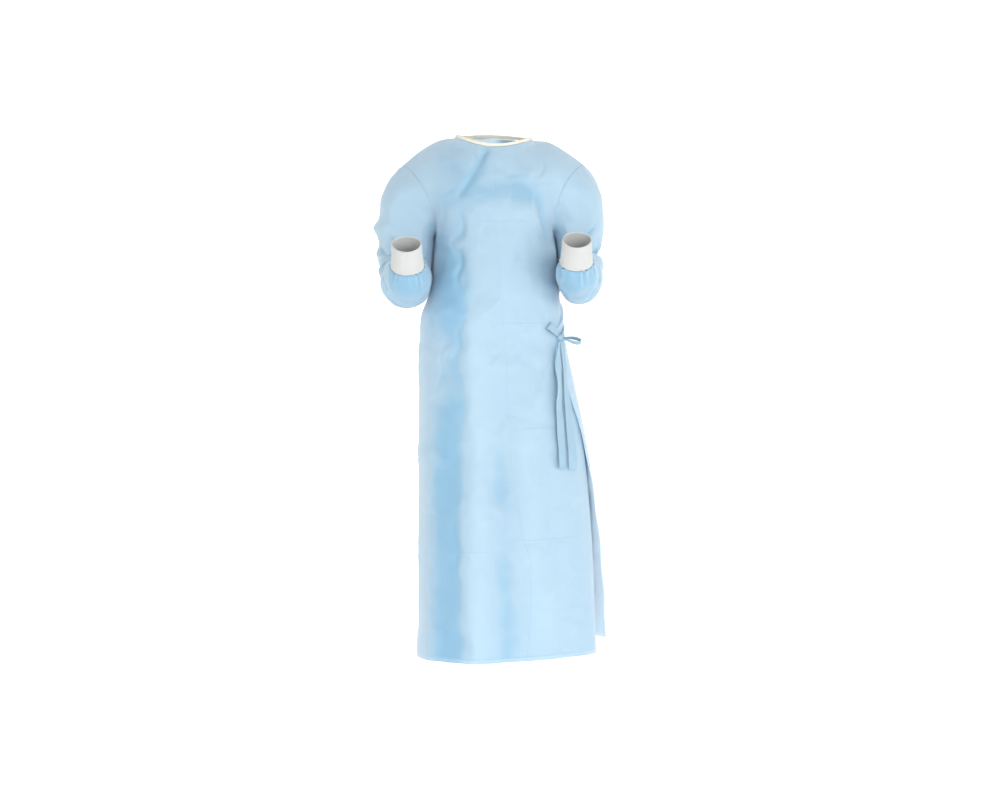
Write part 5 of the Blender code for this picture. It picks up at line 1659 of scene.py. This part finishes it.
    def loop_grid(self, loop: Loop, rows: int = 84, columns: int = 12) -> Grid:
        """A loop's wall, out from the knot and back in a soft bend."""
        rise, heading = math.radians(loop.rise), math.radians(loop.heading)
        flat = np.array([math.cos(heading), math.sin(heading), 0.0])
        out = flat * math.cos(rise) + np.array([0.0, 0.0, math.sin(rise)])
        spread = unit(np.array(loop.spread) - out * np.dot(loop.spread, out))
        across = np.cross(out, spread)
        start = self.centre + out * self.loop_root
        reach = [start + out * row[0] * loop.length for row in self.loop_rows]
        path = [p - spread * row[1] for p, row in zip(reach, self.loop_rows)]
        path += [reach[-1] + out * self.loop_rows[-1][1] / 2]
        path += [p + spread * row[1] for p, row in zip(reach[::-1], self.loop_rows[::-1])]
        widths = [row[2] for row in self.loop_rows]
        widths += widths[-1:] + widths[::-1]
        keys = np.linspace(0, 1, len(path))
        table = Profile(("t", "x", "y", "z", "width"), tuple((t, *p, w) for t, p, w in zip(keys, path, widths)))
        t = np.linspace(0, 1, rows + 1)
        middle = np.stack([table.read(name, t) for name in "xyz"], axis=-1)
        width = table.read("width", t)
        place = np.linspace(-1, 1, columns + 1)
        away = unit(np.cross(across, np.gradient(middle, axis=0)))
        narrow = ease((0.0175 - width) / 0.010)[:, None]
        pleats = 0.0005 * narrow * np.cos(place * 8.0 + loop.seed * 3) + 0.0003 * np.sin(t * 20)[:, None]
        centre = middle[:, None] + across * (place[:, None] * width[:, None, None] / 2)
        grid = Grid(centre + away[:, None] * (pleats[..., None] + self.wall / 2),
                    centre + away[:, None] * (pleats[..., None] - self.wall / 2))
        grid.marks = {"edge_way": (1 - np.abs(place)) * width[:, None] / 2}
        return grid

    def dress(self, finish: bpy.types.Material) -> None:
        """Makes every piece of the tie, parents it to the root and hides the solid that it stands for."""
        knot = self.knot(finish)
        for loop in self.loops:
            grid = self.loop_grid(loop)
            piece = grid.make(f"{loop.node}_cloth", finish)
            cut = Cut(loop.node, "tie_cloth", (0.020, 0.080), 0.00140, "gathered", ("tie_knot_wrap",))
            declare(piece, cut)
        for strip in self.strips:
            rows = max(int(strip.length / 0.0028), 12)
            piece = strip.grid(self.form, self.wall, rows, 12).make(f"{strip.node}_cloth", finish)
            flat = (0.020, strip.length)
            cut = Cut(strip.node, "tie_cloth", flat, flat[0] * flat[1] * 0.9, "hung", ("tie_knot_wrap",))
            declare(piece, cut)


class Value:
    """What a shader node puts out, with arithmetic that adds Math nodes."""

    def __init__(self, shader: "Shader", socket: bpy.types.NodeSocket) -> None:
        """Keeps the tree and the socket."""
        self.shader, self.socket = shader, socket

    def __add__(self, other: "Value | float") -> "Value":
        """Sum."""
        return self.shader.maths("ADD", self, other)

    def __sub__(self, other: "Value | float") -> "Value":
        """Difference."""
        return self.shader.maths("SUBTRACT", self, other)

    def __rsub__(self, other: float) -> "Value":
        """Difference from a number."""
        return self.shader.maths("SUBTRACT", other, self)

    def __mul__(self, other: "Value | float") -> "Value":
        """Product."""
        return self.shader.maths("MULTIPLY", self, other)

    def __truediv__(self, other: "Value | float") -> "Value":
        """Quotient."""
        return self.shader.maths("DIVIDE", self, other)

    def __rtruediv__(self, other: float) -> "Value":
        """A number divided by this."""
        return self.shader.maths("DIVIDE", other, self)

    __radd__ = __add__
    __rmul__ = __mul__

    def sine(self) -> "Value":
        """Sine."""
        return self.shader.maths("SINE", self)

    def size(self) -> "Value":
        """Absolute value."""
        return self.shader.maths("ABSOLUTE", self)

    def step(self, low: float, high: float) -> "Value":
        """A smooth step from 0 at low to 1 at high; falls where low is above high."""
        inputs = {"Value": self, "From Min": low, "From Max": high}
        return self.shader.node("ShaderNodeMapRange", {"interpolation_type": "SMOOTHSTEP"}, inputs)

    def bell(self, width: float) -> "Value":
        """A soft bell, 1 at 0 and near 0 beyond twice the width."""
        share = self / width
        return self.shader.maths("EXPONENT", share * share * -1.0)


class Shader:
    """A material with one Principled shader, whose inputs are fed by expressions."""

    def __init__(self, name: str, constants: dict[str, object]) -> None:
        """Makes the material and sets the shader's constants.

        Args:
            name: The material's name.
            constants: Values by the Principled shader's input name.
        """
        self.material = bpy.data.materials.new(name)
        self.material.use_nodes = True
        self.tree = self.material.node_tree
        self.surface = self.tree.nodes["Principled BSDF"]
        for label, value in constants.items():
            self.surface.inputs[label].default_value = value

    def node(self, kind: str, settings: dict[str, object], inputs: dict[str | int, object],
             output: str | int = 0) -> Value:
        """Adds a node.

        Args:
            kind: The node's type.
            settings: Its settings, made before its inputs.
            inputs: Values to link or numbers to set, by input name or place.
            output: The output that is returned.

        Returns:
            That output.
        """
        node = self.tree.nodes.new(kind)
        for setting, value in settings.items():
            setattr(node, setting, value)
        for label, value in inputs.items():
            if isinstance(value, Value):
                self.tree.links.new(value.socket, node.inputs[label])
            else:
                node.inputs[label].default_value = value
        return Value(self, node.outputs[output])

    def maths(self, operation: str, *values: Value | float) -> Value:
        """A Math node."""
        return self.node("ShaderNodeMath", {"operation": operation}, dict(enumerate(values)))

    def mark(self, name: str) -> Value:
        """A mark that the mesh carries."""
        return self.node("ShaderNodeAttribute", {"attribute_name": name}, {}, "Fac")

    def places(self) -> Value:
        """Places in the object's own coordinates, in metres."""
        return self.node("ShaderNodeTexCoord", {}, {}, "Object")

    def pattern(self) -> Value:
        """Places on the cut cloth, in metres."""
        return self.node("ShaderNodeUVMap", {"uv_map": "pattern"}, {}, "UV")

    def noise(self, where: Value, scale: float, detail: float = 2.0, rough: float = 0.5,
              distort: float = 0.0) -> Value:
        """Noise from 0 to 1 with that many bumps a metre."""
        inputs = {"Vector": where, "Scale": scale, "Detail": detail, "Roughness": rough, "Distortion": distort}
        return self.node("ShaderNodeTexNoise", {}, inputs)

    def cells(self, where: Value, scale: float, feature: str = "DISTANCE_TO_EDGE") -> Value:
        """Distance to the edges of random cells, in cells."""
        inputs = {"Vector": where, "Scale": scale}
        return self.node("ShaderNodeTexVoronoi", {"feature": feature}, inputs, "Distance")

    def parts(self, vector: Value) -> tuple[Value, Value]:
        """The first two parts of a vector."""
        split = self.node("ShaderNodeSeparateXYZ", {}, {0: vector})
        return split, Value(self, split.socket.node.outputs[1])

    def mix(self, share: Value | float, first: object, second: object) -> Value:
        """A colour between two."""
        settings = {"data_type": "RGBA"}
        inputs = {0: share, 6: first, 7: second}
        return self.node("ShaderNodeMix", settings, inputs, 2)

    def feed(self, label: str, value: Value) -> None:
        """Feeds one of the Principled shader's inputs."""
        self.tree.links.new(value.socket, self.surface.inputs[label])

    def relief(self, height: Value, strength: float = 1.0) -> None:
        """Feeds the surface's slope from a height in metres."""
        inputs = {"Strength": strength, "Distance": 1.0, "Height": height}
        self.feed("Normal", self.node("ShaderNodeBump", {}, inputs))


def shade(colour: Colour, factor: float) -> tuple[float, float, float, float]:
    """A colour made lighter or darker, with its alpha."""
    return (*(min(part * factor, 1.0) for part in colour), 1.0)


@dataclass(frozen=True)
class Nonwoven:
    """Spunbonded cloth: fibres pressed together in a fine pattern of dots, crackly where it has been folded."""

    name: str
    colour: Colour
    # deep is the colour of painted shade and pale the colour of painted light.
    deep: Colour = (0.200, 0.425, 0.605)
    pale: Colour = (0.465, 0.635, 0.755)
    rough: float = 0.58
    sheen: float = 0.35
    dot_pitch: float = 0.0017
    dot_depth: float = 0.000022
    crackle: float = 0.00055
    # through is the colour of a painted glow on the inside faces near a free edge, standing in for light that comes
    # through the thin cloth.
    through: Colour = (0.38, 0.40, 0.40)
    panel: bool = True

    def build(self) -> bpy.types.Material:
        """Builds the material."""
        shader = Shader(self.name, {
            "Sheen Weight": self.sheen, "Sheen Roughness": 0.45, "Specular IOR Level": 0.45,
            "Subsurface Weight": 0.55, "Subsurface Radius": (0.8, 0.9, 1.0), "Subsurface Scale": 0.003,
            "Emission Strength": 1.0 if self.panel else 0.0,
        })
        place, cut = shader.places(), shader.pattern()
        cloud = shader.noise(place, 9.0, 3.0)
        fibre = shader.noise(cut, 900.0, 3.0, 0.6, 1.2)
        streak = shader.noise(place, 60.0, 4.0, 0.6, 0.8)
        tone = shader.mix(cloud, shade(self.colour, 0.975), shade(self.colour, 1.025))
        tone = shader.mix((fibre - 0.35) * 0.30, tone, shade(self.colour, 1.12))
        tone = shader.mix(streak.step(0.60, 0.80) * 0.25, tone, shade(self.colour, 1.10))
        across, along = shader.parts(cut)
        beat = 2 * math.pi / self.dot_pitch
        dots = (across * beat + along * beat).sine() * (across * beat - along * beat).sine()
        height = dots * self.dot_depth + fibre * 0.00002
        warp = shader.noise(place, 22.0, 2.0, 0.5, 1.5)
        ridges = shader.cells(self.bent(shader, place), 24.0)
        height = height + ridges.step(0.0, 0.30) * self.crackle * 0.5
        height = height + warp * self.crackle
        height = height + shader.noise(place, 75.0, 3.0, 0.55, 0.6) * self.crackle * 0.22
        if self.panel:
            tone, height = self.sewn(shader, tone, height)
        shader.feed("Base Color", tone)
        if self.panel:
            # Painted light: the inside faces near a free edge glow, though they are no lamp.
            glow = shader.mark("inside") * shader.mark("free_way").step(0.079, 0.045)
            black = (0.0, 0.0, 0.0, 1.0)
            shader.feed("Emission Color", shader.mix(glow, black, (*self.through, 1.0)))
        shader.feed("Roughness", fibre * 0.12 + (self.rough - 0.06))
        shader.relief(height)
        return shader.material

    def bent(self, shader: Shader, place: Value) -> Value:
        """Places pushed about a little, so that cells get uneven, papery edges."""
        push = shader.node("ShaderNodeTexNoise", {}, {"Vector": place, "Scale": 14.0, "Detail": 2.0}, "Color")
        return shader.node("ShaderNodeVectorMath", {"operation": "MULTIPLY_ADD"},
                           {0: push, 1: (0.05, 0.05, 0.05), 2: place})

    def sewn(self, shader: Shader, tone: Value, height: Value) -> tuple[Value, Value]:
        """Adds the painted shade and light, the hem's double layer, the seam lines with their puckers, and the packing
        creases.

        Args:
            shader: The material.
            tone: The colour so far.
            height: The relief so far.

        Returns:
            Both, with these marks.
        """
        # Painted shade in the deep colour and painted light in the pale one, after the mark of painted shade and
        # light.
        painted_shade_and_light = shader.mark("painted_shade_and_light")
        tone = shader.mix(painted_shade_and_light.step(0.0, 1.0) * 0.75, tone, (*self.deep, 1.0))
        tone = shader.mix(painted_shade_and_light.step(0.0, -1.0) * 0.45, tone, (*self.pale, 1.0))
        hem, seam, free = shader.mark("hem_way"), shader.mark("seam_way"), shader.mark("free_way")
        band = shader.maths("MAXIMUM", hem.step(0.0095, 0.0085), free.step(0.0095, 0.0085))
        line = shader.maths("MAXIMUM", (hem - 0.0090).bell(0.0006), (free - 0.0090).bell(0.0006))
        tone = shader.mix(band * 0.40, tone, shade(self.colour, 1.18))
        # Painted shade: a dark line along the top edge of the hem's double layer and of the free edge's band.
        tone = shader.mix(line * 0.35, tone, shade(self.colour, 0.72))
        # Painted shade: a dark line along each seam, where the two pieces meet.
        tone = shader.mix(seam.bell(0.0010) * 0.30, tone, shade(self.colour, 0.70))
        pucker = shader.noise(shader.places(), 130.0, 2.0, 0.5, 0.4)
        height = height + pucker * seam.step(0.016, 0.0) * 0.00042
        height = height + band * 0.00025 - line * 0.0002 + seam.bell(0.0030) * 0.0005
        for name in ("pack_down", "pack_across"):
            away, on = shader.mark(name), shader.mark(f"{name}_on")
            ridge = away.bell(0.0017) * on
            height = height + ridge * 0.00045
            # Painted highlight on each packing crease's ridge and painted shade in the furrow beside it.
            tone = shader.mix(ridge * 0.10, tone, shade(self.colour, 1.12))
            furrow_shade = (away - 0.0022).bell(0.0010) * on
            tone = shader.mix(furrow_shade * 0.22, tone, (*self.deep, 1.0))
        return tone, height


@dataclass(frozen=True)
class Knit:
    """White rib knit: columns of small loops on every rib."""

    name: str
    colour: Colour
    ribs: int
    row: float = 0.0013

    def build(self) -> bpy.types.Material:
        """Builds the material."""
        shader = Shader(self.name, {"Sheen Weight": 0.25, "Sheen Roughness": 0.6, "Specular IOR Level": 0.25})
        turn, way = shader.mark("turn"), shader.mark("cuff_way")
        place = shader.places()
        fuzz = shader.noise(place, 1400.0, 3.0, 0.6)
        cloud = shader.noise(place, 70.0, 2.0)
        rib = (turn * (2 * math.pi * self.ribs) + math.pi / 2).sine()
        loops = (way * (2 * math.pi / self.row) + rib.size() * 1.6).sine()
        tone = shader.mix(cloud, shade(self.colour, 0.96), shade(self.colour, 1.03))
        # Painted shade in the furrows between the raised ribs and between the rows of loops.
        tone = shader.mix(rib.step(0.3, -0.9) * 0.35, tone, shade(self.colour, 0.72))
        tone = shader.mix(loops.step(0.2, -1.0) * 0.18, tone, shade(self.colour, 0.80))
        shader.feed("Base Color", tone)
        shader.feed("Roughness", fuzz * 0.15 + 0.80)
        shader.relief(loops * 0.00009 + fuzz * 0.00006)
        return shader.material


@dataclass(frozen=True)
class BindingTape:
    """A cream strip of soft woven tape."""

    name: str
    colour: Colour

    def build(self) -> bpy.types.Material:
        """Builds the material."""
        shader = Shader(self.name, {"Sheen Weight": 0.15, "Sheen Roughness": 0.5, "Specular IOR Level": 0.25})
        across, along = shader.parts(shader.pattern())
        beat = 2 * math.pi / 0.0008
        weave = (across * beat).sine() * (along * beat).sine()
        fuzz = shader.noise(shader.places(), 700.0, 3.0, 0.6)
        cloud = shader.noise(shader.places(), 40.0, 2.0)
        tone = shader.mix(cloud, shade(self.colour, 0.95), shade(self.colour, 1.04))
        # Painted shade between the threads, where the weave's relief is low.
        tone = shader.mix(weave.step(0.2, -1.0) * 0.15, tone, shade(self.colour, 0.82))
        shader.feed("Base Color", tone)
        shader.feed("Roughness", fuzz * 0.1 + 0.78)
        shader.relief(weave * 0.00003 + fuzz * 0.00005 + shader.noise(shader.places(), 160.0) * 0.0003)
        return shader.material


@dataclass(frozen=True)
class Thread:
    """Sewing thread, matt, with a twist."""

    name: str
    colour: Colour

    def build(self) -> bpy.types.Material:
        """Builds the material."""
        shader = Shader(self.name, {"Specular IOR Level": 0.3})
        twist = shader.noise(shader.places(), 2500.0, 2.0)
        shader.feed("Base Color", shader.mix(twist, shade(self.colour, 0.85), shade(self.colour, 1.05)))
        shader.feed("Roughness", twist * 0.2 + 0.6)
        return shader.material


class Studio:
    """A plain pale floor, a soft light room and the camera."""

    camera_place: tuple[float, float, float] = (0.0101, -4.5, -0.594)
    lens: float = 72.0
    floor_z: float = -1.47
    floor_half: float = 60.0
    key: tuple[float, float, float] = (1.5, -4.1, -0.1)
    fill: tuple[float, float, float] = (0.6, -3.6, 2.2)
    aim: tuple[float, float, float] = (0.0, 0.0, -0.60)
    backdrop_y: float = 10.0
    low_wall_z: float = 2.6

    def floor(self) -> None:
        """The floor, as stage."""
        half, z = self.floor_half, self.floor_z
        mesh = bpy.data.meshes.new("floor")
        mesh.from_pydata([(-half, -half, z), (half, -half, z), (half, half, z), (-half, half, z)], [], [(0, 1, 2, 3)])
        shader = Shader("pale_floor", {"Specular IOR Level": 0.0, "Roughness": 0.9,
                                       "Emission Color": (1.0, 1.0, 1.0, 1.0), "Emission Strength": 0.26})
        cloud = shader.noise(shader.places(), 0.6, 2.0)
        shader.feed("Base Color", shader.mix(cloud, (0.95, 0.95, 0.95, 1), (0.965, 0.965, 0.965, 1)))
        mesh.materials.append(shader.material)
        floor = bpy.data.objects.new("floor", mesh)
        bpy.context.scene.collection.objects.link(floor)

    def backdrop(self) -> None:
        """A lit white wall far behind and low ones on the other sides, as stage."""
        far, y, z, low = self.floor_half, self.backdrop_y, self.floor_z, self.low_wall_z
        corners = [(-far, y), (far, y), (-y, y), (-y, -y), (y, -y), (y, y)]
        tops = [far, far, low, low, low, low]
        places = [(*corner, z) for corner in corners] + [(*corner, top) for corner, top in zip(corners, tops)]
        walls = [(0, 1, 7, 6), (2, 3, 9, 8), (3, 4, 10, 9), (4, 5, 11, 10)]
        mesh = bpy.data.meshes.new("backdrop")
        mesh.from_pydata(places, [], walls)
        shader = Shader("lit_backdrop", {"Specular IOR Level": 0.0, "Roughness": 0.9,
                                         "Emission Color": (1.0, 1.0, 1.0, 1.0), "Emission Strength": 0.42})
        cloud = shader.noise(shader.places(), 0.4, 2.0)
        shader.feed("Base Color", shader.mix(cloud, (0.95, 0.95, 0.95, 1), (0.965, 0.965, 0.965, 1)))
        mesh.materials.append(shader.material)
        wall = bpy.data.objects.new("backdrop", mesh)
        bpy.context.scene.collection.objects.link(wall)

    def world(self) -> None:
        """Even, near-white surroundings."""
        world = bpy.data.worlds.new("room")
        world.use_nodes = True
        sky = world.node_tree.nodes["Background"]
        sky.inputs["Color"].default_value = (0.98, 0.99, 1.0, 1)
        sky.inputs["Strength"].default_value = 0.54
        bpy.context.scene.world = world

    def light(self, name: str, place: tuple[float, float, float], size: float, power: float) -> None:
        """A large soft light that faces the gown.

        Args:
            name: The light's name.
            place: Where it stands.
            size: Side of its square.
            power: Its power in watts.
        """
        lamp = bpy.data.lights.new(name, "AREA")
        lamp.size, lamp.energy = size, power
        holder = bpy.data.objects.new(name, lamp)
        holder.location = place
        holder.rotation_euler = (Vector(self.aim) - Vector(place)).to_track_quat("-Z", "Y").to_euler()
        bpy.context.scene.collection.objects.link(holder)

    def camera(self) -> None:
        """The camera, level, looking along +Y."""
        view = bpy.data.cameras.new("camera")
        view.lens, view.sensor_width = self.lens, 36.0
        holder = bpy.data.objects.new("camera", view)
        holder.location = self.camera_place
        holder.rotation_euler = (math.pi / 2, 0.0, 0.0)
        bpy.context.scene.collection.objects.link(holder)
        bpy.context.scene.camera = holder

    def set_up(self) -> None:
        """Sets up everything around the gown."""
        bpy.context.scene.view_settings.view_transform = "Standard"
        self.floor()
        self.backdrop()
        self.world()
        self.light("key", self.key, 2.6, 72.0)
        self.light("fill", self.fill, 2.4, 8.0)
        self.camera()


def main() -> None:
    """Dresses the frame and sets up the studio."""
    logging.basicConfig(level=logging.INFO, format="%(message)s")
    Studio().set_up()
    form = BodyForm()
    blue = Nonwoven("nonwoven_blue", (0.393, 0.546, 0.672)).build()
    # The tie's blue is the gown's nonwoven made darker, painted shade on the bow and tails.
    tie_shaded_blue = Nonwoven("tie_cloth", (0.32, 0.475, 0.58), panel=False, crackle=0.0003).build()
    knit = Knit("knit_white", (0.64, 0.65, 0.635), RIB_COUNT).build()
    cream = BindingTape("binding_cream", (0.80, 0.77, 0.64)).build()
    blue_thread = Thread("thread_blue", (0.55, 0.76, 0.90)).build()
    cream_thread = Thread("thread_cream", (0.84, 0.81, 0.70)).build()
    panels = Panels(form)
    panels.dress(blue, Stitching(blue_thread))
    Sleeves(form, panels).dress(blue, knit, Stitching(blue_thread))
    NeckBinding(form).dress(cream, Stitching(cream_thread))
    Tie(form).dress(tie_shaded_blue)


if __name__ == "__main__":
    main()
